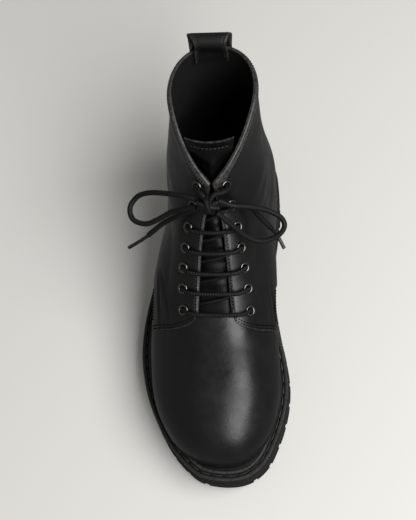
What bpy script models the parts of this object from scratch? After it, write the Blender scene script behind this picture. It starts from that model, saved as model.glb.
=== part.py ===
"""Right-foot combat boot: seven-eyelet derby upper on a lugged rubber sole.

Metres, +Z up, toe toward -Y, inner side of the foot toward +X. The origin is on the ground under the
middle of the heel. The upper is worked out from the last: a foot form joined smoothly to a shaft form.
"""

import math
from typing import NamedTuple

import bmesh
import bpy
import numpy as np

MM = 0.001

# The last
LAST_LENGTH = 285 * MM
BALL_WIDTH = 100 * MM
HEEL_SEAT = 38 * MM
BALL_SEAT = 26 * MM
TOE_SPRING = 8 * MM
INSTEP_HEIGHT = 66 * MM
COLLAR_HEIGHT = 170 * MM
HEEL_POINT_Y = 33 * MM
LAST_SIDE = -3 * MM

# The upper
WALL = 1.8 * MM
QUARTER_STEP = 1.2 * MM
THROAT_WIDTH = 25.6 * MM
COLLAR_DIP = 20 * MM
STEP_RAMP = 0.7 * MM
QUARTER_BOW = 5.5 * MM
HOLE_DEPTH = 6 * MM
HOLE_RISE = 4 * MM

# The sole
HEEL_LEDGE = 7 * MM
TOE_LEDGE = 11 * MM
SIDE_LEDGES = 18 * MM
WELT_THICKNESS = 3.7 * MM
WELT_WIDTH = 17 * MM
MIDSOLE_THICKNESS = 8.4 * MM
INSOLE_THICKNESS = 3 * MM
INSOLE_PLAY = 1.4 * MM
RIM_FLARE = 1.5 * MM
LUG_DEPTH = 5 * MM
LUG_PITCH = 17 * MM
LUG_NOTCH = 3.4 * MM
LUG_LENGTH = 15 * MM
HEEL_BREAST = 78 * MM
HEEL_BLOCK = 19.7 * MM
HEEL_FLARE_FOOT = 2 * MM
HEEL_FLARE_TOP = 4 * MM
WELT_EDGE = -1.6 * MM
GROOVE_DEPTH = 1.6 * MM
GROOVE_LIP = 0.8 * MM
MIDSOLE_ROUND = 1 * MM
MIDSOLE_TUCK = 0.6 * MM
RIB_EDGE = -0.4 * MM
RIB_HEIGHT = 2.6 * MM
RIB_ROUND = 0.8 * MM
RIB_TOP = 0.6 * MM
FOOT_SHARE = 0.2
RIB_FOOT_SHARE = 0.35
RIB_SHARE = 0.5
RIB_TOP_SHARE = 0.75
HEEL_STATIONS = 12
BLUNT_END = 6 * MM
NOTCH_AIM = 0.01
CUTTER_FOOT = -4 * MM
FOREFOOT_NOTCHES = (0.47, 0.9995)
HEEL_NOTCHES = (0.0005, 0.245)
GROOVES_START = 0.535
GROOVES_RUN = 0.36

# The tongue, the pull loop and the lacing
TONGUE_WIDTH = 62 * MM
TONGUE_THICKNESS = 2 * MM
TONGUE_TOP = 174 * MM
LOOP_WIDTH = 28 * MM
LOOP_SIDE = -2.5 * MM
LOOP_RISE = 14 * MM
LOOP_GAP = 9 * MM
LOOP_LEG = 34 * MM
LOOP_TUCK = 9 * MM
LOOP_THICKNESS = 1.8 * MM
LOOP_PLAY = 0.6 * MM
LOOP_COLUMNS = 7
LOOP_OVERTURN = 0.25
EYELET_ROWS = 7
EYELET_SIDES = 9
EYELET_FIRST = 0.035
EYELET_RUN = 0.93
FLANGE_CROWN = 0.8 * MM
FLANGE_LIP = 0.4 * MM
KNOT_ACROSS = 7.2 * MM
KNOT_ALONG = 5.8 * MM
KNOT_THICK = 4.4 * MM
BAR_HEIGHT = 4.1 * MM
BAR_DIP = 1.6 * MM
BAR_REST = 0.65
BAR_SAG = 3.5 * MM
CROSSING_START = 0.36
CROSSING_END = 0.64
TOP_CROSSING_END = 0.60
CROSSING_SINK = 0.4 * MM
EYELET_INSET = 14 * MM
EYELET_FLANGE = 8.6 * MM
EYELET_BARREL = 5.2 * MM
FLANGE_LIFT = 0.3 * MM
LACE_HOLE = 4.4 * MM
LACE = 4 * MM

CLEARANCE = 0.3 * MM


class LastRow(NamedTuple):
    """One station of the last: heights and widths as shares of the instep height and ball width."""

    along: float
    middle: float
    lateral: float
    medial: float
    over_lateral: float
    over_medial: float
    ridge: float
    top: float


LAST = (
    LastRow(0.00, 0.000, 0.325, 0.325, 0.010, 0.010, 0.750, 2.00),
    LastRow(0.13, 0.000, 0.350, 0.365, 0.020, 0.010, 0.950, 2.00),
    LastRow(0.24, 0.000, 0.375, 0.385, 0.040, 0.020, 1.150, 2.00),
    LastRow(0.33, -0.005, 0.400, 0.380, 0.055, 0.040, 1.250, 2.10),
    LastRow(0.42, -0.010, 0.430, 0.375, 0.070, 0.065, 1.270, 2.25),
    LastRow(0.505, -0.015, 0.465, 0.395, 0.070, 0.060, 1.170, 2.30),
    LastRow(0.59, -0.015, 0.505, 0.420, 0.045, 0.040, 0.960, 2.30),
    LastRow(0.68, -0.010, 0.530, 0.445, 0.030, 0.030, 0.820, 2.30),
    LastRow(0.77, 0.000, 0.520, 0.460, 0.020, 0.020, 0.770, 2.40),
    LastRow(0.85, 0.015, 0.510, 0.450, 0.015, 0.015, 0.720, 2.50),
    LastRow(0.92, 0.035, 0.510, 0.430, 0.012, 0.012, 0.680, 2.50),
    LastRow(1.00, 0.050, 0.520, 0.420, 0.010, 0.010, 0.640, 2.50),
)


class ShaftRow(NamedTuple):
    """One level of the shaft: back, front and widest place as shares of the last's length."""

    height: float
    back: float
    front: float
    widest: float
    middle: float
    lateral: float
    medial: float
    point: float


SHAFT = (
    ShaftRow(0.00, 0.000, 0.400, 0.160, 0.000, 0.365, 0.365, 2.00),
    ShaftRow(0.17, -0.014, 0.460, 0.170, 0.000, 0.390, 0.370, 2.00),
    ShaftRow(0.35, -0.010, 0.500, 0.200, -0.005, 0.400, 0.370, 1.90),
    ShaftRow(0.50, 0.004, 0.475, 0.220, -0.010, 0.395, 0.365, 1.80),
    ShaftRow(0.70, 0.014, 0.405, 0.190, -0.012, 0.350, 0.335, 1.65),
    ShaftRow(0.85, 0.016, 0.370, 0.160, -0.008, 0.318, 0.318, 1.60),
    ShaftRow(1.00, 0.012, 0.350, 0.150, -0.004, 0.310, 0.312, 1.60),
)
HEEL_FAN = 0.17
TOE_FAN = 0.77
PLAN_ROUND = 2.2
BLEND = 14 * MM
OVER_REACH = 0.75
GAUGE_SCALE = 0.4
SEAM_HUB = 0.15
SHAFT_HUB = 0.17
RIDGE_HUB = 0.80
RIDGE_HUB_RISE = 1.3 * BALL_SEAT
THROAT_HUB_RISE = 1.1 * HEEL_SEAT
COLLAR_TURN = 0.96
NORMAL_LIFT = 0.2 * MM


class SeatRow(NamedTuple):
    """Height of the last's seat as shares of the heel seat, ball seat and toe spring."""

    along: float
    heel: float
    ball: float
    spring: float


SEAT = (
    SeatRow(-0.05, 1.00, 0.00, 0.00),
    SeatRow(0.26, 0.97, 0.03, 0.00),
    SeatRow(0.45, 0.55, 0.45, 0.00),
    SeatRow(0.62, 0.10, 0.90, 0.00),
    SeatRow(0.74, 0.00, 1.00, 0.03),
    SeatRow(0.88, 0.00, 1.00, 0.40),
    SeatRow(1.05, 0.00, 1.00, 1.15),
)


class SoleRow(NamedTuple):
    """Sole edge: distance of each side from the long axis as shares of the sole's width."""

    along: float
    lateral: float
    medial: float


SOLE = (
    SoleRow(0.000, 0.000, 0.000),
    SoleRow(0.046, 0.242, 0.240),
    SoleRow(0.083, 0.290, 0.289),
    SoleRow(0.122, 0.322, 0.324),
    SoleRow(0.175, 0.342, 0.342),
    SoleRow(0.248, 0.369, 0.349),
    SoleRow(0.320, 0.415, 0.339),
    SoleRow(0.410, 0.489, 0.311),
    SoleRow(0.500, 0.548, 0.325),
    SoleRow(0.600, 0.589, 0.368),
    SoleRow(0.667, 0.591, 0.407),
    SoleRow(0.730, 0.567, 0.430),
    SoleRow(0.790, 0.523, 0.425),
    SoleRow(0.850, 0.452, 0.394),
    SoleRow(0.900, 0.379, 0.351),
    SoleRow(0.940, 0.301, 0.305),
    SoleRow(0.970, 0.220, 0.242),
    SoleRow(0.990, 0.140, 0.165),
    SoleRow(1.000, -0.025, 0.025),
)


class TreadRow(NamedTuple):
    """Underside of the outsole: shares of the heel block's height and of the toe spring."""

    along: float
    heel: float
    spring: float


TREAD = (
    TreadRow(0.000, 1.000, 0.00),
    TreadRow(0.257, 1.000, 0.00),
    TreadRow(0.310, 0.800, 0.00),
    TreadRow(0.370, 0.520, 0.00),
    TreadRow(0.430, 0.230, 0.00),
    TreadRow(0.490, 0.000, 0.00),
    TreadRow(0.780, 0.000, 0.00),
    TreadRow(0.860, 0.000, 0.20),
    TreadRow(0.930, 0.000, 0.62),
    TreadRow(1.000, 0.000, 1.20),
)


class CollarRow(NamedTuple):
    """Drop of the collar's edge, as shares of its dip, from the back (0) round to the V (1)."""

    turn: float
    drop: float


COLLAR = (
    CollarRow(0.00, 0.00),
    CollarRow(0.25, -0.07),
    CollarRow(0.45, -0.10),
    CollarRow(0.62, 0.02),
    CollarRow(0.78, 0.28),
    CollarRow(0.90, 0.62),
    CollarRow(1.00, 1.00),
)


class ThroatRow(NamedTuple):
    """Half gap between the facings, as shares of the throat's width, from the V down."""

    share: float
    half: float


THROAT = (
    ThroatRow(0.00, 0.05),
    ThroatRow(0.12, 0.16),
    ThroatRow(0.25, 0.26),
    ThroatRow(0.60, 0.40),
    ThroatRow(1.00, 0.50),
)
THROAT_TOP = 0.371
THROAT_BOTTOM = 0.636
THROAT_CORNER = 0.005


class EyeletRow(NamedTuple):
    """How far the eyelets stand from the facing's edge, as shares of their inset, from the top."""

    share: float
    lateral: float
    medial: float


EYELETS = (
    EyeletRow(0.00, 0.86, 0.84),
    EyeletRow(0.25, 1.10, 0.98),
    EyeletRow(0.50, 1.10, 1.15),
    EyeletRow(0.75, 1.00, 1.25),
    EyeletRow(1.00, 0.84, 1.30),
)


class TongueRow(NamedTuple):
    """Tongue: place on its path, depth under the form in shares of its thickness, width share."""

    share: float
    depth: float
    width: float


TONGUE = (
    TongueRow(0.00, 1.60, 0.86),
    TongueRow(0.10, 2.20, 0.92),
    TongueRow(0.30, 3.20, 1.00),
    TongueRow(0.55, 3.50, 0.94),
    TongueRow(0.75, 4.00, 0.74),
    TongueRow(0.88, 4.80, 0.58),
    TongueRow(1.00, 6.50, 0.56),
)
TONGUE_HUB = 34 * MM
TONGUE_BOW = 4 * MM
TONGUE_UNFOLDS = 0.80
TONGUE_UNDER = 0.06


# The bow's routes in millimetres, chosen by hand: a cord's points stay as they are when a size changes
KNOT_CENTRE = (-6, -86.8, 143.8)
BOW = {
    "lace_loop_lateral": (
        (-14.5, -83.5, 146.5), (-23, -80.5, 145.5), (-37, -75.5, 140.5), (-51, -71, 133), (-61, -70.5, 126),
        (-67, -77, 121), (-64.5, -85.5, 118.5), (-55, -89.5, 119), (-45.5, -88.5, 123.5),
        (-34, -85.8, 131), (-24, -87, 138), (-14.8, -88, 142.6),
    ),
    "lace_loop_medial": (
        (2.2, -85, 146.5), (11, -87, 143.5), (21, -85, 137.5), (31, -83, 130), (39, -83.5, 124.5),
        (45.5, -86, 120), (47.5, -91, 116.5), (43.5, -96.5, 114), (36, -100, 113), (28, -101.5, 114.5),
        (19.5, -99.5, 119.5), (12, -96.5, 127), (6, -93.5, 133.5), (0, -90.6, 139.6),
    ),
    "lace_end_lateral": (
        (-11.5, -85.6, 138.6), (-18, -87, 136), (-25.5, -87, 131), (-34.5, -86.5, 122), (-42.5, -87, 114.5),
        (-50.5, -90.5, 108.5), (-58, -94.5, 104), (-70.5, -99.5, 98),
    ),
    "lace_end_medial": (
        (0.6, -84.6, 139.9), (7.5, -84, 138.6), (14, -83, 135.8), (20.5, -81, 130), (25, -81, 124.5),
        (29.5, -83, 116.5), (38, -88.5, 107), (42.5, -92, 100.5), (47, -99, 95),
    ),
}
LEGS = {
    "lace_leg_lateral": ((-15.4, -74.3, 146), (-14.3, -77.8, 147), (-9.8, -81.2, 148.2)),
    "lace_leg_medial": ((7.4, -74.3, 146), (5.6, -78.2, 147.4), (-1.6, -81.4, 148.6)),
}


def curve(rows, column, at, warp=None):
    """Smooth value of one table column at the given places of its first column."""
    x = np.array([row[0] for row in rows], float)
    y = np.array([getattr(row, column) for row in rows], float)
    at = np.clip(np.asarray(at, float), x[0], x[-1])
    if warp:
        x, at = warp(x), warp(at)
    slope = np.gradient(y, x)
    i = np.clip(np.searchsorted(x, at, side="right") - 1, 0, len(x) - 2)
    w = x[i + 1] - x[i]
    t = (at - x[i]) / w
    return (
        (2 * t**3 - 3 * t**2 + 1) * y[i]
        + (t**3 - 2 * t**2 + t) * w * slope[i]
        + (3 * t**2 - 2 * t**3) * y[i + 1]
        + (t**3 - t**2) * w * slope[i + 1]
    )


def turned(along):
    """Angle that spreads the places near both round ends of an outline."""
    return np.arccos(1 - 2 * np.clip(along, 0, 1))


def along_last(y):
    return (HEEL_POINT_Y - y) / LAST_LENGTH


def y_on_last(along):
    return HEEL_POINT_Y - along * LAST_LENGTH


def seat(along):
    """Height of the feather line, where the upper meets the welt."""
    return (
        curve(SEAT, "heel", along) * HEEL_SEAT
        + curve(SEAT, "ball", along) * BALL_SEAT
        + curve(SEAT, "spring", along) * TOE_SPRING
    )


def middle_x(along):
    return LAST_SIDE + curve(LAST, "middle", along) * BALL_WIDTH


def plan_half(along, side, swell=0.0):
    """Half width of the foot form before its ends are rounded."""
    if side < 0:
        share = curve(LAST, "lateral", along) + swell * curve(LAST, "over_lateral", along)
    else:
        share = curve(LAST, "medial", along) + swell * curve(LAST, "over_medial", along)
    return share * BALL_WIDTH


def end_fans(along):
    """How far a place is into the round heel or the round toe, from 0 to 1 at the tip."""
    heel = np.clip((HEEL_FAN - along) / HEEL_FAN, 0, None)
    toe = np.clip((along - TOE_FAN) / (1 - TOE_FAN), 0, None)
    return heel, toe


def foot_gauge(p):
    along = along_last(p[:, 1])
    height = np.maximum(p[:, 2] - seat(along), 0) / (curve(LAST, "ridge", along) * INSTEP_HEIGHT)
    off = p[:, 0] - middle_x(along)
    swell = np.clip(height / OVER_REACH, 0, 1)
    swell = 4 * swell * (1 - swell)
    half = np.where(off < 0, plan_half(along, -1, swell), plan_half(along, 1, swell))
    heel, toe = end_fans(along)
    plan = (np.abs(off / half) ** PLAN_ROUND + heel**PLAN_ROUND + toe**PLAN_ROUND) ** (1 / PLAN_ROUND)
    top = curve(LAST, "top", along)
    return ((plan**top + height**top) ** (1 / top) - 1) * GAUGE_SCALE * BALL_WIDTH


def shaft_gauge(p):
    height = (p[:, 2] - HEEL_SEAT) / (COLLAR_HEIGHT - HEEL_SEAT)
    along = along_last(p[:, 1])
    widest = curve(SHAFT, "widest", height)
    ahead = along > widest
    reach = np.where(ahead, curve(SHAFT, "front", height) - widest, widest - curve(SHAFT, "back", height))
    off = p[:, 0] - LAST_SIDE - curve(SHAFT, "middle", height) * BALL_WIDTH
    half = np.where(off < 0, curve(SHAFT, "lateral", height), curve(SHAFT, "medial", height)) * BALL_WIDTH
    n = np.where(ahead, curve(SHAFT, "point", height), PLAN_ROUND)
    plan = (np.abs(off / half) ** n + (np.abs(along - widest) / reach) ** n) ** (1 / n)
    return (plan - 1) * GAUGE_SCALE * BALL_WIDTH


def form(p):
    """Below zero inside the last, above zero outside: foot and shaft joined smoothly."""
    foot, shaft = foot_gauge(p), shaft_gauge(p)
    h = np.clip(0.5 + 0.5 * (shaft - foot) / BLEND, 0, 1)
    return shaft * (1 - h) + foot * h - BLEND * h * (1 - h)


def slope_of_form(p, step=0.4 * MM):
    g = np.empty_like(p)
    for k in range(3):
        d = np.zeros(3)
        d[k] = step
        g[:, k] = (form(p + d) - form(p - d)) / (2 * step)
    return g


def outward(p):
    """Unit normals of the form at the given points."""
    g = slope_of_form(p)
    return g / np.linalg.norm(g, axis=1)[:, None]


def onto_form(p, rounds=12, longest=8 * MM):
    """Points moved along the form's slope until they lie on it."""
    p = np.array(p, float)
    for _ in range(rounds):
        g = slope_of_form(p)
        move = -form(p)[:, None] * g / np.maximum((g * g).sum(1), 1e-6)[:, None]
        size = np.linalg.norm(move, axis=1)[:, None]
        p = p + move * np.minimum(1, longest / np.maximum(size, 1e-12))
    return p


def cast(start, direction, far=0.2, halvings=36):
    """Where rays that start inside the form leave it."""
    start, direction = np.atleast_2d(start).astype(float), np.atleast_2d(direction).astype(float)
    near = np.zeros(len(start))
    out = np.full(len(start), far)
    for _ in range(halvings):
        mid = (near + out) / 2
        inside = form(start + mid[:, None] * direction) < 0
        near, out = np.where(inside, mid, near), np.where(inside, out, mid)
    return start + out[:, None] * direction


def spaced(line, shares):
    """Points of a polyline at the given shares of its length."""
    line = np.asarray(line, float)
    run = np.concatenate([[0], np.cumsum(np.linalg.norm(np.diff(line, axis=0), axis=1))])
    at = np.asarray(shares) * run[-1]
    return np.stack([np.interp(at, run, line[:, k]) for k in range(3)], 1)


def smooth_path(points, count):
    """A smooth curve through hand-chosen points, as evenly spaced points."""
    p = np.asarray(points, float)
    p = np.concatenate([[2 * p[0] - p[1]], p, [2 * p[-1] - p[-2]]])
    t = np.linspace(0, 1, 24, endpoint=False)[:, None]
    spans = []
    for a, b, c, d in zip(p[:-3], p[1:-2], p[2:-1], p[3:]):
        spans.append(
            0.5 * (2 * b + (c - a) * t + (2 * a - 5 * b + 4 * c - d) * t**2 + (3 * b - a - 3 * c + d) * t**3)
        )
    spans.append(p[-2:-1])
    return spaced(np.concatenate(spans), np.linspace(0, 1, count))


def feather_line(side, count=160):
    """The line where the upper meets the welt, from the heel point to the toe's tip."""
    along = (1 - np.cos(np.linspace(0, math.pi, count))) / 2
    heel, toe = end_fans(along)
    round_off = np.maximum(1 - heel**PLAN_ROUND - toe**PLAN_ROUND, 0) ** (1 / PLAN_ROUND)
    x = middle_x(along) + side * plan_half(along, side) * round_off
    return np.stack([x, y_on_last(along), seat(along)], 1)


def heel_line(count=60):
    """The back seam, from the feather to the collar."""
    z = np.linspace(seat(0.0), COLLAR_HEIGHT, count)
    height = (z - HEEL_SEAT) / (COLLAR_HEIGHT - HEEL_SEAT)
    x = LAST_SIDE + curve(SHAFT, "middle", height) * BALL_WIDTH
    y = np.full(count, y_on_last(SEAM_HUB))
    line = cast(np.stack([x, y, z], 1), np.repeat([[0, 1, 0]], count, 0))
    line[0] = feather_line(1)[0]
    return line


def throat_edge(side, count=40):
    """The facing's front edge, from the V down to the throat's corner."""
    share = np.linspace(0, 1, count)
    along = THROAT_TOP + share * (THROAT_BOTTOM - THROAT_TOP)
    x = middle_x(along) + side * curve(THROAT, "half", share) * THROAT_WIDTH
    start = np.stack([x, y_on_last(along), np.full(count, THROAT_HUB_RISE)], 1)
    return cast(start, np.repeat([[0, 0, 1]], count, 0))


def throat_floor(side, count=20):
    """The throat's bottom edge, from the facing's corner to its middle."""
    share = np.linspace(0, 1, count)
    along = THROAT_BOTTOM + THROAT_CORNER * np.sin(share * math.pi / 2)
    corner = side * curve(THROAT, "half", 1.0) * THROAT_WIDTH
    x = middle_x(along) + corner * (1 - share)
    start = np.stack([x, y_on_last(along), np.full(count, THROAT_HUB_RISE)], 1)
    return cast(start, np.repeat([[0, 0, 1]], count, 0))


def collar_edge(side, count=48):
    """The collar's edge, from the back round to the V."""
    turn = np.linspace(0, COLLAR_TURN, count)
    x = np.full(count, LAST_SIDE + SHAFT[-1].middle * BALL_WIDTH)
    z = COLLAR_HEIGHT - curve(COLLAR, "drop", turn) * COLLAR_DIP
    start = np.stack([x, np.full(count, y_on_last(SHAFT_HUB)), z], 1)
    way = np.stack([side * np.sin(turn * math.pi), np.cos(turn * math.pi), 0 * turn], 1)
    line = cast(start, way)
    line[0] = heel_line()[-1]
    return np.concatenate([line, throat_edge(side)[:1]])


def ridge_line(count=60):
    """The vamp's ridge, from the toe's tip up to the throat."""
    toe = feather_line(1)[-1]
    top = throat_floor(1)[-1]
    hub = np.array([0, y_on_last(RIDGE_HUB), RIDGE_HUB_RISE])
    first = math.atan2(toe[2] - hub[2], hub[1] - toe[1])
    last = math.atan2(top[2] - hub[2], hub[1] - top[1])
    angle = np.linspace(first, last, count)
    start = np.repeat([hub], count, 0)
    start[:, 0] = np.linspace(toe[0], top[0], count)
    line = cast(start, np.stack([0 * angle, -np.cos(angle), np.sin(angle)], 1))
    line[0], line[-1] = toe, top
    return line


def coons(left, right, bottom, top):
    """Grid [column, row] filled in between four border lines that share their corners."""
    u = np.linspace(0, 1, len(bottom))[:, None, None]
    v = np.linspace(0, 1, len(left))[None, :, None]
    across = (1 - u) * left[None] + u * right[None]
    up = (1 - v) * bottom[:, None] + v * top[:, None]
    corners = (1 - u) * ((1 - v) * bottom[0] + v * top[0]) + u * ((1 - v) * bottom[-1] + v * top[-1])
    return across + up - corners


COLLAR_COLUMNS = 11
FACING_COLUMNS = 12
VAMP_COLUMNS = 9
ROWS_BELOW = 4
ROWS_ABOVE = 9
WING_COLUMN = 17
EDGE_ROW = 0.30
ANKLE_SHARE = 0.50
QUARTER_FOOT = 0.645
BOW_AT = (0, 0.30, 0.45, 0.62, 0.80, 0.92, 1)
BOW_SHARE = (0, 0, 0.35, 0.9, 1, 0.75, 0)


def row_shares(length):
    """Rows of the grid: close together at the quarter's lower edge."""
    ramp = STEP_RAMP / length
    low = np.linspace(0, EDGE_ROW, ROWS_BELOW)
    high = np.linspace(EDGE_ROW + ramp, 1, ROWS_ABOVE)
    return np.concatenate([low, high])


def quarter_front(foot, corner, count=60):
    """Front edge of the quarter, from the feather line to the throat's corner, bowed to the toe."""
    share = np.linspace(0, 1, count)
    line = foot * (1 - share[:, None]) + corner * share[:, None]
    line[:, 1] -= np.interp(share, BOW_AT, BOW_SHARE) * QUARTER_BOW
    line = onto_form(line)
    line[0], line[-1] = foot, corner
    return line


def side_grid(side):
    """Half of the upper on the form, from the back seam (first column) to the ridge (last)."""
    feather = feather_line(side)
    foot_at = np.interp(QUARTER_FOOT, along_last(feather[:, 1]), np.arange(len(feather)))
    run = np.concatenate([[0], np.cumsum(np.linalg.norm(np.diff(feather, axis=0), axis=1))])
    foot = np.interp(foot_at, np.arange(len(run)), run) / run[-1]
    facing = throat_edge(side)
    ramp = 1 - STEP_RAMP / (foot * run[-1])
    facing_shares = np.append(np.linspace(0, ramp, FACING_COLUMNS), 1)
    top = np.concatenate(
        [spaced(collar_edge(side), np.linspace(0, 1, COLLAR_COLUMNS)), spaced(facing, facing_shares)[1:]]
    )
    ankle = foot * ANKLE_SHARE
    rear_shares = np.concatenate(
        [np.linspace(0, ankle, COLLAR_COLUMNS), (ankle + (foot - ankle) * facing_shares)[1:]]
    )
    bottom = spaced(feather, rear_shares)
    rise = np.linalg.norm(top[-1] - bottom[-1])
    quarter = spaced(quarter_front(bottom[-1], top[-1]), row_shares(rise))
    back = spaced(heel_line(), row_shares(COLLAR_HEIGHT - HEEL_SEAT))
    rear = coons(back, quarter, bottom, top)
    vamp_bottom = spaced(feather, np.linspace(foot, 1, VAMP_COLUMNS + 1))
    vamp_top = spaced(throat_floor(side), np.linspace(0, 1, VAMP_COLUMNS + 1))
    ridge = spaced(ridge_line(), row_shares(rise))
    vamp = coons(quarter, ridge, vamp_bottom, vamp_top)
    grid = np.concatenate([rear, vamp[1:]])
    inner = grid[1:-1, 1:-1]
    grid[1:-1, 1:-1] = onto_form(inner.reshape(-1, 3)).reshape(inner.shape)
    return grid


def raised():
    """Share of the quarter's step at each column and row of one side."""
    columns = COLLAR_COLUMNS + FACING_COLUMNS + VAMP_COLUMNS
    share = np.zeros((columns, ROWS_BELOW + ROWS_ABOVE))
    quarter = COLLAR_COLUMNS + FACING_COLUMNS - 1
    share[:quarter, ROWS_BELOW:] = 1
    share[:WING_COLUMN, :] = 1
    return share


def material(name, colour, roughness, metallic=0.0):
    """A Principled material with the part's own colour."""
    made = bpy.data.materials.new(name)
    made.use_nodes = True
    shader = made.node_tree.nodes["Principled BSDF"]
    shader.inputs["Base Color"].default_value = (*colour, 1)
    shader.inputs["Roughness"].default_value = roughness
    shader.inputs["Metallic"].default_value = metallic
    return made


def new_object(name, points, faces, finish=None, hidden=False):
    """A mesh object with its faces turned outward."""
    mesh = bpy.data.meshes.new(name)
    mesh.from_pydata([tuple(map(float, p)) for p in points], [], [tuple(map(int, f)) for f in faces])
    work = bmesh.new()
    work.from_mesh(mesh)
    bmesh.ops.remove_doubles(work, verts=work.verts, dist=1e-6)
    bmesh.ops.recalc_face_normals(work, faces=work.faces)
    if work.calc_volume(signed=True) < 0:
        bmesh.ops.reverse_faces(work, faces=work.faces)
    work.to_mesh(mesh)
    work.free()
    made = bpy.data.objects.new(name, mesh)
    bpy.context.scene.collection.objects.link(made)
    if finish:
        mesh.materials.append(finish)
        mesh.shade_smooth()
        mesh.set_sharp_from_angle(angle=math.radians(38))
    made.hide_render = hidden
    if hidden:
        made.display_type = "WIRE"
    return made


def grid_faces(columns, rows, first=0, closed=False):
    """Quads of a grid stored column by column."""
    faces = []
    for i in range(columns if closed else columns - 1):
        k = (i + 1) % columns
        for j in range(rows - 1):
            a, b = first + i * rows + j, first + k * rows + j
            faces.append((a, b, b + 1, a + 1))
    return faces


def sheet(outer, inner, closed=False):
    """Points and faces of a wall between two grids, open or closed round its columns."""
    columns, rows = outer.shape[:2]
    points = np.concatenate([outer.reshape(-1, 3), inner.reshape(-1, 3)])
    skip = columns * rows
    faces = grid_faces(columns, rows, 0, closed)
    faces += [tuple(reversed(f)) for f in grid_faces(columns, rows, skip, closed)]
    for i in range(columns if closed else columns - 1):
        k = (i + 1) % columns
        for j in (0, rows - 1):
            a, b = i * rows + j, k * rows + j
            rim = (a, b, b + skip, a + skip)
            faces.append(tuple(reversed(rim)) if j == 0 else rim)
    if not closed:
        for i in (0, columns - 1):
            for j in range(rows - 1):
                a = i * rows + j
                faces.append((a, a + 1, a + 1 + skip, a + skip))
    return points, faces


def cut(target, cutter, operation="DIFFERENCE"):
    modifier = target.modifiers.new(cutter.name, "BOOLEAN")
    modifier.operation = operation
    modifier.solver = "EXACT"
    modifier.object = cutter


def frame_on(normal):
    """Two directions across a normal, the first as level as it can be."""
    side = np.cross([0, 0, 1], normal)
    side /= np.linalg.norm(side)
    return side, np.cross(normal, side)


def eyelet_places(side):
    """Centres and outward normals of one row of eyelets, top one first."""
    edge = throat_edge(side)
    shares = EYELET_FIRST + np.arange(EYELET_ROWS) / (EYELET_ROWS - 1) * EYELET_RUN
    at = spaced(edge, shares)
    column = "lateral" if side < 0 else "medial"
    at[:, 0] += side * curve(EYELETS, column, shares) * EYELET_INSET
    centre = onto_form(at)
    normal = outward(centre)
    return centre + normal * QUARTER_STEP, normal


def turned_profile(centre, normal, profile, sides=EYELET_SIDES):
    """A ring turned round the normal from (radius, height) pairs that close on themselves."""
    across, up = frame_on(normal)
    points = []
    for k in range(sides):
        angle = 2 * math.pi * k / sides
        way = math.cos(angle) * across + math.sin(angle) * up
        points += [centre + way * radius + normal * height for radius, height in profile]
    n = len(profile)
    faces = []
    for k in range(sides):
        m = (k + 1) % sides
        faces += [(k * n + i, k * n + (i + 1) % n, m * n + (i + 1) % n, m * n + i) for i in range(n)]
    return points, faces


def plug(centre, normal, radius, low, high, sides=EYELET_SIDES):
    """A short solid cylinder along the normal."""
    across, up = frame_on(normal)
    points = []
    for height in (low, high):
        for k in range(sides):
            angle = 2 * math.pi * (k + 0.5) / sides
            way = math.cos(angle) * across + math.sin(angle) * up
            points.append(centre + way * radius + normal * height)
    faces = [(k, (k + 1) % sides, sides + (k + 1) % sides, sides + k) for k in range(sides)]
    faces += [tuple(range(sides)), tuple(range(sides, 2 * sides))]
    return points, faces


def joined(parts):
    """Points and faces of several shapes in one mesh."""
    points, faces = [], []
    for more_points, more_faces in parts:
        skip = len(points)
        points += list(more_points)
        faces += [tuple(skip + i for i in face) for face in more_faces]
    return points, faces


def make_upper(finish):
    sides = [side_grid(-1), side_grid(1)]
    lift = raised()
    grid = np.concatenate([sides[0][::-1], sides[1][1:-1]])
    share = np.concatenate([lift[::-1], lift[1:-1]])
    flat = grid.reshape(-1, 3)
    normal = outward(flat + [0, 0, NORMAL_LIFT]).reshape(grid.shape)
    normal[:, 0, 2] = 0
    normal[:, 0] /= np.linalg.norm(normal[:, 0], axis=1)[:, None]
    outer = grid + normal * (share * QUARTER_STEP)[:, :, None]
    inner = grid - normal * WALL
    upper = new_object("upper", *sheet(outer, inner, closed=True), finish)
    holes = []
    for side in (-1, 1):
        for centre, way in zip(*eyelet_places(side)):
            holes.append(plug(centre, way, EYELET_BARREL / 2 + CLEARANCE, -HOLE_DEPTH, HOLE_RISE))
    cut(upper, new_object("eyelet_holes", *joined(holes), hidden=True))


def make_eyelets(finish):
    barrel, hole, flange = EYELET_BARREL / 2, LACE_HOLE / 2, EYELET_FLANGE / 2
    under = CLEARANCE + FLANGE_LIFT
    profile = (
        (hole, -WALL - QUARTER_STEP - CLEARANCE),
        (barrel, -WALL - QUARTER_STEP - CLEARANCE),
        (barrel, under),
        (flange, under),
        ((flange + hole) / 2, under + FLANGE_CROWN),
        (hole, under + FLANGE_LIP),
    )
    for side, name in ((-1, "lateral"), (1, "medial")):
        for k, (centre, way) in enumerate(zip(*eyelet_places(side)), 1):
            new_object(f"eyelet_{name}_{k}", *turned_profile(centre, way, profile), finish)


SOLE_LENGTH = HEEL_LEDGE + LAST_LENGTH + TOE_LEDGE
SOLE_WIDTH = BALL_WIDTH + SIDE_LEDGES
SOLE_BACK = HEEL_POINT_Y + HEEL_LEDGE


def sole_sides(count=150):
    """Both edges of the sole as points (x, y), from the back to the toe."""
    along = (1 - np.cos(np.linspace(0, math.pi, count))) / 2
    y = SOLE_BACK - along * SOLE_LENGTH
    lateral = -curve(SOLE, "lateral", along, turned) * SOLE_WIDTH
    medial = curve(SOLE, "medial", along, turned) * SOLE_WIDTH
    return np.stack([lateral, y], 1), np.stack([medial, y], 1)


def last_sides():
    """Both edges of the feather line as points (x, y)."""
    return feather_line(-1)[:, :2], feather_line(1)[:, :2]


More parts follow.
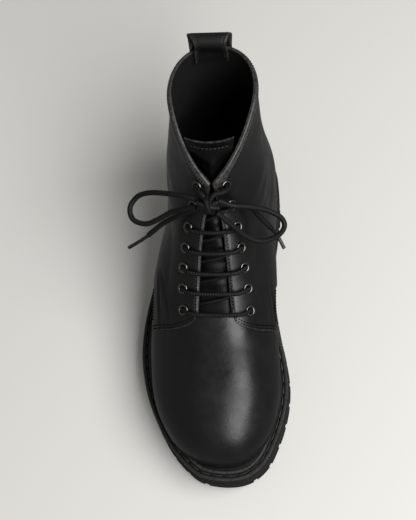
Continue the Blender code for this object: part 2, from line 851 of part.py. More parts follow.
def grown(sides, margin):
    """The two edges of an outline moved outward by the margin."""
    lateral, medial = sides
    loop = np.concatenate([medial, lateral[-2:0:-1]])
    tangent = np.roll(loop, -1, 0) - np.roll(loop, 1, 0)
    tangent /= np.linalg.norm(tangent, axis=1)[:, None]
    out = loop + margin * np.stack([-tangent[:, 1], tangent[:, 0]], 1)
    n = len(medial)
    return np.concatenate([out[:1], out[:n - 2:-1]]), out[:n]


def ring(sides, margin, height, stations=34, front=None):
    """Pairs of points across an outline, from its back to its front, at heights given by y."""
    lateral, medial = grown(sides, margin)
    back = max(lateral[:, 1].max(), medial[:, 1].max())
    tip = min(lateral[:, 1].min(), medial[:, 1].min())
    if front is None:
        y = tip + (back - tip) * (1 + np.cos(np.linspace(0, math.pi, stations))) / 2
    else:
        y = front + (back - front) * np.cos(np.linspace(0, math.pi / 2, stations))
    pairs = []
    for edge in (lateral, medial):
        order = np.argsort(edge[:, 1])
        x = np.interp(y, edge[order, 1], edge[order, 0])
        pairs.append(np.stack([x, y, height(y)], 1))
    if np.linalg.norm(pairs[0][0] - pairs[1][0]) < BLUNT_END:
        pairs[0][0] = pairs[1][0] = (pairs[0][0] + pairs[1][0]) / 2
    if front is None:
        pairs[0][-1] = pairs[1][-1] = (pairs[0][-1] + pairs[1][-1]) / 2
    return pairs


def stack(rings):
    """Points and faces of a solid between rings, lowest first, with a cap at each end."""
    points, faces = [], []
    n = len(rings[0][0])
    for lateral, medial in rings:
        points += list(lateral) + list(medial)
    for k in range(len(rings) - 1):
        low, high = 2 * n * k, 2 * n * (k + 1)
        for i in range(n - 1):
            faces.append((low + i, low + i + 1, high + i + 1, high + i))
            faces.append((low + n + i + 1, low + n + i, high + n + i, high + n + i + 1))
        for i in (0, n - 1):
            faces.append((low + i, low + n + i, high + n + i, high + i))
    for first in (0, 2 * n * (len(rings) - 1)):
        faces += [(first + i, first + i + 1, first + n + i + 1, first + n + i) for i in range(n - 1)]
    return points, without_collapsed(points, faces)


def hollow_stack(rings):
    """Points and faces of a ring-shaped solid: its rings go round its section."""
    points, faces = [], []
    n = len(rings[0][0])
    for lateral, medial in rings:
        points += list(lateral) + list(medial)
    for k in range(len(rings)):
        low, high = 2 * n * k, 2 * n * ((k + 1) % len(rings))
        for i in range(n - 1):
            faces.append((low + i, low + i + 1, high + i + 1, high + i))
            faces.append((low + n + i + 1, low + n + i, high + n + i, high + n + i + 1))
    return points, without_collapsed(points, faces)


def without_collapsed(points, faces):
    """Faces with repeated corners made triangles, and those with no area left out."""
    kept = []
    for face in faces:
        corners = []
        for i in face:
            if not any(np.allclose(points[i], points[k], atol=1e-7) for k in corners):
                corners.append(i)
        if len(corners) > 2:
            kept.append(tuple(corners))
    return kept


def below_seat(depth):
    """Height function: a layer's surface, this far below the feather line."""
    return lambda y: seat(along_last(y)) - depth


def level(height):
    """Height function of a flat layer."""
    return lambda y: np.full_like(y, height)


def tread(y):
    """Underside of the outsole."""
    along = (SOLE_BACK - y) / SOLE_LENGTH
    plate = HEEL_BLOCK + CLEARANCE
    rise = curve(TREAD, "heel", along) * plate + curve(TREAD, "spring", along) * TOE_SPRING
    return np.maximum(rise, 0)


WELT_TOP = CLEARANCE
MIDSOLE_TOP = WELT_TOP + WELT_THICKNESS + CLEARANCE
OUTSOLE_TOP = MIDSOLE_TOP + MIDSOLE_THICKNESS + CLEARANCE


def make_welt(finish):
    sides = sole_sides()
    low, high = below_seat(WELT_TOP + WELT_THICKNESS), below_seat(WELT_TOP)
    rings = [
        ring(sides, WELT_EDGE, low),
        ring(sides, WELT_EDGE, high),
        ring(sides, -WELT_WIDTH, high),
        ring(sides, -WELT_WIDTH, low),
    ]
    new_object("welt", *hollow_stack(rings), finish)


def make_midsole(finish):
    sides = sole_sides()
    groove = MIDSOLE_TOP + GROOVE_DEPTH
    bottom = MIDSOLE_TOP + MIDSOLE_THICKNESS
    rings = [
        ring(sides, -RIM_FLARE - MIDSOLE_TUCK, below_seat(bottom)),
        ring(sides, -RIM_FLARE, below_seat(bottom - MIDSOLE_ROUND)),
        ring(sides, -RIM_FLARE, below_seat(groove + GROOVE_LIP)),
        ring(sides, -RIM_FLARE - GROOVE_DEPTH, below_seat(groove)),
        ring(sides, -RIM_FLARE - GROOVE_DEPTH, below_seat(MIDSOLE_TOP)),
    ]
    new_object("midsole", *stack(rings), finish)


def make_insole(finish):
    sides = last_sides()
    margin = -WALL - INSOLE_PLAY
    rings = [
        ring(sides, margin, below_seat(0)),
        ring(sides, margin, below_seat(-INSOLE_THICKNESS)),
    ]
    new_object("insole", *stack(rings), finish)


def bar(centre, way, length, width, low, high):
    """A box cutter on the ground: its length runs along way."""
    way = np.array([way[0], way[1], 0.0]) / math.hypot(*way[:2])
    side = np.array([-way[1], way[0], 0.0])
    points = []
    for z in (low, high):
        for a, b in ((-1, -1), (1, -1), (1, 1), (-1, 1)):
            at = np.array([centre[0], centre[1], 0]) + a * length / 2 * way + b * width / 2 * side
            points.append(at + [0, 0, z])
    return points, [(0, 1, 2, 3), (4, 5, 6, 7), (0, 1, 5, 4), (1, 2, 6, 5), (2, 3, 7, 6), (3, 0, 4, 7)]


def rim_notches(stretch, depth):
    """Notches round the rim, a pitch apart, between two shares of the sole's length."""
    parts = []
    for line, side in zip(sole_sides(), (-1, 1)):
        share = (SOLE_BACK - line[:, 1]) / SOLE_LENGTH
        line = line[(share > stretch[0]) & (share < stretch[1])]
        edge = np.concatenate([line, np.zeros((len(line), 1))], 1)
        run = np.concatenate([[0], np.cumsum(np.linalg.norm(np.diff(line, axis=0), axis=1))])
        for k in range(int(run[-1] / LUG_PITCH)):
            at = (k + 0.5) * LUG_PITCH / run[-1]
            a, b = spaced(edge, [at - NOTCH_AIM, at + NOTCH_AIM])
            tangent = (b - a)[:2]
            inward = np.array([tangent[1], -tangent[0]]) * side
            inward /= np.linalg.norm(inward)
            middle = (a + b)[:2] / 2 + inward * (LUG_LENGTH / 2 - RIM_FLARE)
            height = tread(middle[1]) + LUG_DEPTH if depth is None else depth
            parts.append(bar(middle, inward, LUG_LENGTH + 2 * RIM_FLARE, LUG_NOTCH, CUTTER_FOOT, height))
    return joined(parts)


def centre_grooves():
    """Grooves across the middle of the forefoot tread."""
    parts = []
    count = int(GROOVES_RUN * SOLE_LENGTH / LUG_PITCH)
    lateral, medial = grown(sole_sides(), -LUG_LENGTH - 2 * LUG_NOTCH)
    for k in range(count):
        y = SOLE_BACK - GROOVES_START * SOLE_LENGTH - k * LUG_PITCH
        left = np.interp(-y, -lateral[:, 1], lateral[:, 0])
        right = np.interp(-y, -medial[:, 1], medial[:, 0])
        middle = ((left + right) / 2, y)
        parts.append(bar(middle, (1, 0), right - left, LUG_NOTCH, CUTTER_FOOT, tread(y) + LUG_DEPTH))
    return joined(parts)


def above_tread(rise, most):
    """Height function on the outsole's wall: above the tread, up to a share of the thickness there."""
    top = below_seat(OUTSOLE_TOP)
    return lambda y: tread(y) + np.minimum(rise, most * (top(y) - tread(y)))


def below_top(drop, least):
    """Height function on the outsole's wall: below its top, down to a share of the thickness there."""
    top = below_seat(OUTSOLE_TOP)
    return lambda y: np.maximum(top(y) - drop, tread(y) + least * (top(y) - tread(y)))


def make_outsole(finish):
    sides = sole_sides()
    rings = [
        ring(sides, 0, tread),
        ring(sides, 0, above_tread(HEEL_FLARE_FOOT, FOOT_SHARE)),
        ring(sides, -RIM_FLARE, below_top(RIB_HEIGHT + RIB_ROUND, RIB_FOOT_SHARE)),
        ring(sides, RIB_EDGE, below_top(RIB_HEIGHT, RIB_SHARE)),
        ring(sides, RIB_EDGE, below_top(RIB_TOP, RIB_TOP_SHARE)),
        ring(sides, -RIM_FLARE, below_top(0, 1)),
    ]
    outsole = new_object("outsole", *stack(rings), finish)
    cut(outsole, new_object("outsole_notches", *rim_notches(FOREFOOT_NOTCHES, None), hidden=True))
    cut(outsole, new_object("outsole_grooves", *centre_grooves(), hidden=True))


def make_heel(finish):
    sides = sole_sides()
    breast = SOLE_BACK - HEEL_BREAST
    rings = [
        ring(sides, 0, level(0), HEEL_STATIONS, breast),
        ring(sides, 0, level(HEEL_FLARE_FOOT), HEEL_STATIONS, breast),
        ring(sides, -RIM_FLARE, level(HEEL_FLARE_TOP), HEEL_STATIONS, breast),
        ring(sides, -RIM_FLARE, level(HEEL_BLOCK), HEEL_STATIONS, breast),
    ]
    heel = new_object("heel", *stack(rings), finish)
    cut(heel, new_object("heel_notches", *rim_notches(HEEL_NOTCHES, LUG_DEPTH), hidden=True))


def tongue_path(low_count=40, high_count=13):
    """Middle line of the tongue on the form: under the vamp, up the throat, then above the V."""
    along = np.linspace(THROAT_BOTTOM + TONGUE_UNDER, THROAT_TOP, low_count)
    start = np.stack([middle_x(along), y_on_last(along), np.full(low_count, THROAT_HUB_RISE)], 1)
    low = cast(start, np.repeat([[0, 0, 1]], low_count, 0))
    z = np.linspace(low[-1, 2], TONGUE_TOP, high_count + 1)[1:]
    start = np.stack([np.full(high_count, low[-1, 0]), np.full(high_count, y_on_last(SHAFT_HUB)), z], 1)
    high = cast(start, np.repeat([[0, -1, 0]], high_count, 0))
    return np.concatenate([low, high])


def make_tongue(finish, rows=16, columns=9):
    share = np.linspace(0, 1, rows)
    line = spaced(tongue_path(), share)
    normal = outward(line)
    normal[:, 0] = 0
    normal /= np.linalg.norm(normal, axis=1)[:, None]
    half = curve(TONGUE, "width", share) * TONGUE_WIDTH / 2
    depth = curve(TONGUE, "depth", share) * TONGUE_THICKNESS
    flat = np.clip((share - TONGUE_UNFOLDS) / (1 - TONGUE_UNFOLDS), 0, 1)[:, None]
    flat = flat * flat * (3 - 2 * flat)
    outer, inner = np.zeros((columns, rows, 3)), np.zeros((columns, rows, 3))
    for i, a in enumerate(np.linspace(-1, 1, columns)):
        angle = (a * half / TONGUE_HUB)[:, None]
        way = normal * np.cos(angle) + np.array([1.0, 0, 0]) * np.sin(angle)
        hit = cast(line - normal * TONGUE_HUB, way)
        spread = line - normal * depth[:, None] + np.array([1.0, 0, 0]) * (a * half)[:, None]
        spread = spread - normal * TONGUE_BOW * a * a
        outer[i] = (hit - way * depth[:, None]) * (1 - flat) + spread * flat
        back = way * (1 - flat) + normal * flat
        inner[i] = outer[i] - back * TONGUE_THICKNESS
    new_object("tongue", *sheet(outer, inner), finish)


def make_pull_loop(finish):
    """A strip bent over the collar's back: its legs lie on both faces of the wall."""
    across = np.linspace(-0.5, 0.5, LOOP_COLUMNS) * LOOP_WIDTH
    outside = QUARTER_STEP + CLEARANCE + LOOP_PLAY
    inside = -WALL - CLEARANCE - LOOP_PLAY
    top = COLLAR_HEIGHT + LOOP_RISE
    bulge = LOOP_GAP / 2 + LOOP_THICKNESS / 2
    core = (outside + inside) / 2
    leg = COLLAR_HEIGHT - LOOP_LEG
    path = [(outside + LOOP_THICKNESS / 2, z) for z in np.linspace(leg, COLLAR_HEIGHT, 5)]
    for angle in np.linspace(-LOOP_OVERTURN, math.pi + LOOP_OVERTURN, 9):
        path.append((core + bulge * math.cos(angle), top - bulge + bulge * math.sin(angle)))
    tuck = COLLAR_HEIGHT - LOOP_TUCK
    path += [(inside - LOOP_THICKNESS / 2, z) for z in np.linspace(COLLAR_HEIGHT, tuck, 3)]
    path = np.array(path)
    tangent = np.gradient(path, axis=0)
    tangent /= np.linalg.norm(tangent, axis=1)[:, None]
    turn = np.stack([tangent[:, 1], -tangent[:, 0]], 1) * LOOP_THICKNESS / 2
    centre = LAST_SIDE + SHAFT[-1].middle * BALL_WIDTH + LOOP_SIDE
    layers = []
    for edge in (path + turn, path - turn):
        layer = np.zeros((LOOP_COLUMNS, len(path), 3))
        for i, x in enumerate(across):
            z = np.minimum(edge[:, 1], COLLAR_HEIGHT)
            start = np.stack([np.full(len(z), centre + x), np.full(len(z), y_on_last(SHAFT_HUB)), z], 1)
            on = cast(start, np.repeat([[0, 1, 0]], len(z), 0))
            normal = outward(on)
            normal[:, 2] = 0
            normal /= np.linalg.norm(normal, axis=1)[:, None]
            at = on + normal * edge[:, :1]
            at[:, 2] = edge[:, 1]
            layer[i] = at
        layers.append(layer)
    new_object("pull_loop", *sheet(layers[0], layers[1]), finish)


def tube(points, radius, sides=6):
    """Points and faces of a round cord along a path, with flat ends."""
    points = np.asarray(points, float)
    tangent = np.gradient(points, axis=0)
    tangent /= np.linalg.norm(tangent, axis=1)[:, None]
    across = np.cross(tangent[0], [0, 0, 1])
    rings = []
    for at, way in zip(points, tangent):
        across = across - way * across.dot(way)
        across /= np.linalg.norm(across)
        up = np.cross(way, across)
        for k in range(sides):
            angle = 2 * math.pi * k / sides
            rings.append(at + radius * (math.cos(angle) * across + math.sin(angle) * up))
    n = len(points)
    faces = []
    for i in range(n - 1):
        for k in range(sides):
            m = (k + 1) % sides
            faces.append((i * sides + k, i * sides + m, (i + 1) * sides + m, (i + 1) * sides + k))
    faces += [tuple(range(sides)), tuple(range((n - 1) * sides, n * sides))]
    return rings, faces


def bar_path(row, count=7):
    """Middle line of a straight lace bar, from the lateral eyelet to the medial one."""
    ends = [eyelet_places(side)[0][row] for side in (-1, 1)]
    t = np.linspace(-1, 1, count)[:, None]
    straight = (ends[0] * (1 - t) + ends[1] * (1 + t)) / 2
    straight[:, 1] -= BAR_SAG * (1 - t[:, 0] ** 4)
    on = onto_form(straight)
    height = QUARTER_STEP + BAR_HEIGHT - BAR_DIP * np.clip(1 - (t / BAR_REST) ** 2, 0, 1)
    return on + outward(on) * height


def lace_bars(first=1):
    """Bars across the throat, top one first, then the crossings that join them in the gap."""
    bars = [bar_path(row) for row in range(first, EYELET_ROWS)]
    crossings = []
    for low, high in zip(bars[1:], bars[:-1]):
        start = spaced(low, [CROSSING_START])[0]
        end = spaced(high, [TOP_CROSSING_END if high is bars[0] else CROSSING_END])[0]
        middle = onto_form(np.array([(start + end) / 2]))
        middle = (middle - outward(middle) * CROSSING_SINK)[0]
        crossings.append(smooth_path([start, middle, end], 5))
    return bars, crossings


def make_lacing(finish):
    bars, crossings = lace_bars()
    ladder = new_object("lace_bars", *tube(bars[0], LACE / 2), finish)
    for k, path in enumerate(bars[1:] + crossings):
        cut(ladder, new_object(f"lace_bar_{k}", *tube(path, LACE / 2), hidden=True), "UNION")
    for name, route in LEGS.items():
        new_object(name, *tube(smooth_path(np.array(route) * MM, 5), LACE / 2), finish)
    for name, route in BOW.items():
        make_cord(name, np.array(route) * MM, finish)
    make_knot(finish)


def make_cord(name, route, finish):
    """A free cord: a bevelled curve with a point every two diameters."""
    length = np.linalg.norm(np.diff(smooth_path(route, 200), axis=0), axis=1).sum()
    points = smooth_path(route, max(3, round(length / (2 * LACE)) + 1))
    data = bpy.data.curves.new(name, "CURVE")
    data.dimensions = "3D"
    spline = data.splines.new("POLY")
    spline.points.add(len(points) - 1)
    for point, at in zip(spline.points, points):
        point.co = (*at, 1)
    data.bevel_depth = LACE / 2
    data.bevel_resolution = 2
    data.use_fill_caps = True
    data.materials.append(finish)
    bpy.context.scene.collection.objects.link(bpy.data.objects.new(name, data))


def make_knot(finish):
    """The bow's knot, a flattened round lump that lies along the slope of the instep."""
    work = bmesh.new()
    bmesh.ops.create_uvsphere(work, u_segments=12, v_segments=8, radius=1)
    centre = np.array(KNOT_CENTRE) * MM
    normal = outward(onto_form(centre[None]))[0]
    normal[0] = 0
    normal /= np.linalg.norm(normal)
    across = np.array([1.0, 0, 0])
    along = np.cross(normal, across)
    for vertex in work.verts:
        a, b, c = vertex.co
        vertex.co = centre + across * a * KNOT_ACROSS + along * b * KNOT_ALONG + normal * c * KNOT_THICK
    points = [tuple(v.co) for v in work.verts]
    faces = [[v.index for v in f.verts] for f in work.faces]
    work.free()
    new_object("lace_knot", points, faces, finish)


def clear_scene():
    for thing in list(bpy.data.objects):
        bpy.data.objects.remove(thing, do_unlink=True)


def main():
    clear_scene()
    leather = material("black leather", (0.018, 0.017, 0.016), 0.38)
    lining = material("dark lining", (0.03, 0.028, 0.026), 0.8)
    rubber = material("black rubber", (0.022, 0.022, 0.022), 0.6)
    metal = material("blackened metal", (0.12, 0.12, 0.12), 0.3, 1.0)
    cord = material("waxed cord", (0.02, 0.02, 0.021), 0.5)
    make_outsole(rubber)
    make_heel(rubber)
    make_midsole(rubber)
    make_welt(leather)
    make_insole(lining)
    make_upper(leather)
    make_tongue(leather)
    make_pull_loop(leather)
    make_eyelets(metal)
    make_lacing(cord)


main()
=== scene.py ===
"""Looks of a right-foot combat boot: a seven-eyelet derby of black leather on a lugged rubber sole.

The last's own shape is worked out from its sizes, and every skin, seam, stitch and lace is laid on it.
All lengths are in metres; MM turns millimetres into metres. +Z is up and the toe points toward -Y.
"""

from __future__ import annotations

import logging
import math
from dataclasses import dataclass
from enum import Enum
from typing import Any, Callable, NamedTuple, Sequence

import bmesh
import bpy
import numpy as np
from mathutils import Matrix


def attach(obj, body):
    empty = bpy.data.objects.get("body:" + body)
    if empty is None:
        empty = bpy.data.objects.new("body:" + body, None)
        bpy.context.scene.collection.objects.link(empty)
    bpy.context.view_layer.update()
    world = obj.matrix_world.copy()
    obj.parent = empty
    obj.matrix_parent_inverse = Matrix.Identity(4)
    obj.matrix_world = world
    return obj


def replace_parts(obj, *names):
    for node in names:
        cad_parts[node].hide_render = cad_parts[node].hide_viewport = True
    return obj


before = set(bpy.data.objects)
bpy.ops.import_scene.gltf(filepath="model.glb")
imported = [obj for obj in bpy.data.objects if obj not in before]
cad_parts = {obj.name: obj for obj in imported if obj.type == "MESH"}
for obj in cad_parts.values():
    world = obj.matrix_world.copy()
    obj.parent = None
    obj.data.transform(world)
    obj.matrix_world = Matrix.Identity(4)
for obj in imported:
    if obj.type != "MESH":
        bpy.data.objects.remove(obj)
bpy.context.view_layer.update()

MM = 0.001
LOG = logging.getLogger("boot")
Array = np.ndarray


class Side(Enum):
    """The two long sides of the right boot, by the sign of x."""

    LATERAL = -1
    MEDIAL = 1


class LastRow(NamedTuple):
    """One station of the last, as shares of the instep height and the ball width."""

    along: float
    middle: float
    lateral: float
    medial: float
    over_lateral: float
    over_medial: float
    ridge: float
    top: float


LAST_ROWS = (
    LastRow(0.00, 0.000, 0.325, 0.325, 0.010, 0.010, 0.750, 2.00),
    LastRow(0.13, 0.000, 0.350, 0.365, 0.020, 0.010, 0.950, 2.00),
    LastRow(0.24, 0.000, 0.375, 0.385, 0.040, 0.020, 1.150, 2.00),
    LastRow(0.33, -0.005, 0.400, 0.380, 0.055, 0.040, 1.250, 2.10),
    LastRow(0.42, -0.010, 0.430, 0.375, 0.070, 0.065, 1.270, 2.25),
    LastRow(0.505, -0.015, 0.465, 0.395, 0.070, 0.060, 1.170, 2.30),
    LastRow(0.59, -0.015, 0.505, 0.420, 0.045, 0.040, 0.960, 2.30),
    LastRow(0.68, -0.010, 0.530, 0.445, 0.030, 0.030, 0.820, 2.30),
    LastRow(0.77, 0.000, 0.520, 0.460, 0.020, 0.020, 0.770, 2.40),
    LastRow(0.85, 0.015, 0.510, 0.450, 0.015, 0.015, 0.720, 2.50),
    LastRow(0.92, 0.035, 0.510, 0.430, 0.012, 0.012, 0.680, 2.50),
    LastRow(1.00, 0.050, 0.520, 0.420, 0.010, 0.010, 0.640, 2.50),
)


class ShaftRow(NamedTuple):
    """One level of the shaft, as shares of the last's length and the ball width."""

    height: float
    back: float
    front: float
    widest: float
    middle: float
    lateral: float
    medial: float
    point: float


SHAFT_ROWS = (
    ShaftRow(0.00, 0.000, 0.400, 0.160, 0.000, 0.365, 0.365, 2.00),
    ShaftRow(0.17, -0.014, 0.460, 0.170, 0.000, 0.390, 0.370, 2.00),
    ShaftRow(0.35, -0.010, 0.500, 0.200, -0.005, 0.400, 0.370, 1.90),
    ShaftRow(0.50, 0.004, 0.475, 0.220, -0.010, 0.395, 0.365, 1.80),
    ShaftRow(0.70, 0.014, 0.405, 0.190, -0.012, 0.350, 0.335, 1.65),
    ShaftRow(0.85, 0.016, 0.370, 0.160, -0.008, 0.318, 0.318, 1.60),
    ShaftRow(1.00, 0.012, 0.350, 0.150, -0.004, 0.310, 0.312, 1.60),
)


class SeatRow(NamedTuple):
    """Height of the last's seat, as shares of the heel seat, the ball seat and the toe spring."""

    along: float
    heel: float
    ball: float
    spring: float


SEAT_ROWS = (
    SeatRow(-0.05, 1.00, 0.00, 0.00),
    SeatRow(0.26, 0.97, 0.03, 0.00),
    SeatRow(0.45, 0.55, 0.45, 0.00),
    SeatRow(0.62, 0.10, 0.90, 0.00),
    SeatRow(0.74, 0.00, 1.00, 0.03),
    SeatRow(0.88, 0.00, 1.00, 0.40),
    SeatRow(1.05, 0.00, 1.00, 1.15),
)


class SoleRow(NamedTuple):
    """Sole edge: how far each side stands from the long axis, as shares of the sole's width."""

    along: float
    lateral: float
    medial: float


SOLE_ROWS = (
    SoleRow(0.000, 0.000, 0.000),
    SoleRow(0.046, 0.242, 0.240),
    SoleRow(0.083, 0.290, 0.289),
    SoleRow(0.122, 0.322, 0.324),
    SoleRow(0.175, 0.342, 0.342),
    SoleRow(0.248, 0.369, 0.349),
    SoleRow(0.320, 0.415, 0.339),
    SoleRow(0.410, 0.489, 0.311),
    SoleRow(0.500, 0.548, 0.325),
    SoleRow(0.600, 0.589, 0.368),
    SoleRow(0.667, 0.591, 0.407),
    SoleRow(0.730, 0.567, 0.430),
    SoleRow(0.790, 0.523, 0.425),
    SoleRow(0.850, 0.452, 0.394),
    SoleRow(0.900, 0.379, 0.351),
    SoleRow(0.940, 0.301, 0.305),
    SoleRow(0.970, 0.220, 0.242),
    SoleRow(0.990, 0.140, 0.165),
    SoleRow(1.000, -0.025, 0.025),
)


class TreadRow(NamedTuple):
    """Underside of the outsole, as shares of the heel block's height and of the toe spring."""

    along: float
    heel: float
    spring: float


TREAD_ROWS = (
    TreadRow(0.000, 1.000, 0.00),
    TreadRow(0.257, 1.000, 0.00),
    TreadRow(0.310, 0.800, 0.00),
    TreadRow(0.370, 0.520, 0.00),
    TreadRow(0.430, 0.230, 0.00),
    TreadRow(0.490, 0.000, 0.00),
    TreadRow(0.780, 0.000, 0.00),
    TreadRow(0.860, 0.000, 0.20),
    TreadRow(0.930, 0.000, 0.62),
    TreadRow(1.000, 0.000, 1.20),
)


class CollarRow(NamedTuple):
    """Drop of the collar's edge, as shares of its dip, from the back (0) round to the V (1)."""

    turn: float
    drop: float


COLLAR_ROWS = (
    CollarRow(0.00, 0.00),
    CollarRow(0.25, -0.07),
    CollarRow(0.45, -0.10),
    CollarRow(0.62, 0.02),
    CollarRow(0.78, 0.28),
    CollarRow(0.90, 0.62),
    CollarRow(1.00, 1.00),
)


class ThroatRow(NamedTuple):
    """Half gap between the facings, as shares of the throat's width, from the V down."""

    share: float
    half: float


THROAT_ROWS = (
    ThroatRow(0.00, 0.05),
    ThroatRow(0.12, 0.16),
    ThroatRow(0.25, 0.26),
    ThroatRow(0.60, 0.40),
    ThroatRow(1.00, 0.50),
)


class EyeletRow(NamedTuple):
    """How far the eyelets stand from the facing's edge, as shares of their inset, from the top."""

    share: float
    lateral: float
    medial: float


EYELET_ROWS = (
    EyeletRow(0.00, 0.86, 0.84),
    EyeletRow(0.25, 1.10, 0.98),
    EyeletRow(0.50, 1.10, 1.15),
    EyeletRow(0.75, 1.00, 1.25),
    EyeletRow(1.00, 0.84, 1.30),
)


class TongueRow(NamedTuple):
    """Tongue: place on its path, depth under the last's form in thicknesses, and share of its width."""

    share: float
    depth: float
    width: float


TONGUE_ROWS = (
    TongueRow(0.00, 1.60, 0.86),
    TongueRow(0.10, 2.20, 0.92),
    TongueRow(0.30, 3.20, 1.00),
    TongueRow(0.55, 3.50, 0.94),
    TongueRow(0.75, 4.00, 0.74),
    TongueRow(0.88, 4.80, 0.58),
    TongueRow(1.00, 6.50, 0.56),
)


def column_value(rows: Sequence[Any], column: str, at: Any, warp: Callable | None = None) -> Array:
    """Reads one column of a table as a smooth cubic curve.

    Args:
        rows: The table; its first column is the place along the curve.
        column: Name of the column to read.
        at: Places to read it at.
        warp: Optional change of scale for the places.

    Returns:
        The values at those places.
    """
    places = np.array([row[0] for row in rows], float)
    values = np.array([getattr(row, column) for row in rows], float)
    at = np.clip(np.asarray(at, float), places[0], places[-1])
    if warp:
        places, at = warp(places), warp(at)
    slope = np.gradient(values, places)
    i = np.clip(np.searchsorted(places, at, side="right") - 1, 0, len(places) - 2)
    span = places[i + 1] - places[i]
    t = (at - places[i]) / span
    start = (2 * t**3 - 3 * t**2 + 1) * values[i] + (t**3 - 2 * t**2 + t) * span * slope[i]
    return start + (3 * t**2 - 2 * t**3) * values[i + 1] + (t**3 - t**2) * span * slope[i + 1]


def round_ends(along: Array) -> Array:
    """Turns a place along an outline into an angle, so that both round ends read smoothly."""
    return np.arccos(1 - 2 * np.clip(along, 0, 1))


def unit(v: Array) -> Array:
    """Vectors of length one with the same directions."""
    return v / np.maximum(np.linalg.norm(v, axis=-1, keepdims=True), 1e-12)


def lengths_along(line: Array) -> Array:
    """Distance run along a polyline at each of its points."""
    return np.concatenate([[0.0], np.cumsum(np.linalg.norm(np.diff(line, axis=0), axis=1))])


def spaced(line: Array, shares: Array) -> Array:
    """Points of a polyline at the given shares of its length."""
    line = np.asarray(line, float)
    run = lengths_along(line)
    at = np.asarray(shares) * run[-1]
    return np.stack([np.interp(at, run, line[:, k]) for k in range(line.shape[1])], 1)


def smooth_path(points: Sequence[Sequence[float]] | Array, count: int) -> Array:
    """A smooth curve through given points.

    Args:
        points: The route's own points.
        count: How many points to return.

    Returns:
        Evenly spaced points on a Catmull-Rom curve through the route.
    """
    p = np.asarray(points, float)
    p = np.concatenate([[2 * p[0] - p[1]], p, [2 * p[-1] - p[-2]]])
    t = np.linspace(0, 1, 24, endpoint=False)[:, None]
    spans = []
    for a, b, c, d in zip(p[:-3], p[1:-2], p[2:-1], p[3:]):
        cubic = (2 * a - 5 * b + 4 * c - d) * t**2 + (3 * b - a - 3 * c + d) * t**3
        spans.append(0.5 * (2 * b + (c - a) * t + cubic))
    spans.append(p[-2:-1])
    return spaced(np.concatenate(spans), np.linspace(0, 1, count))


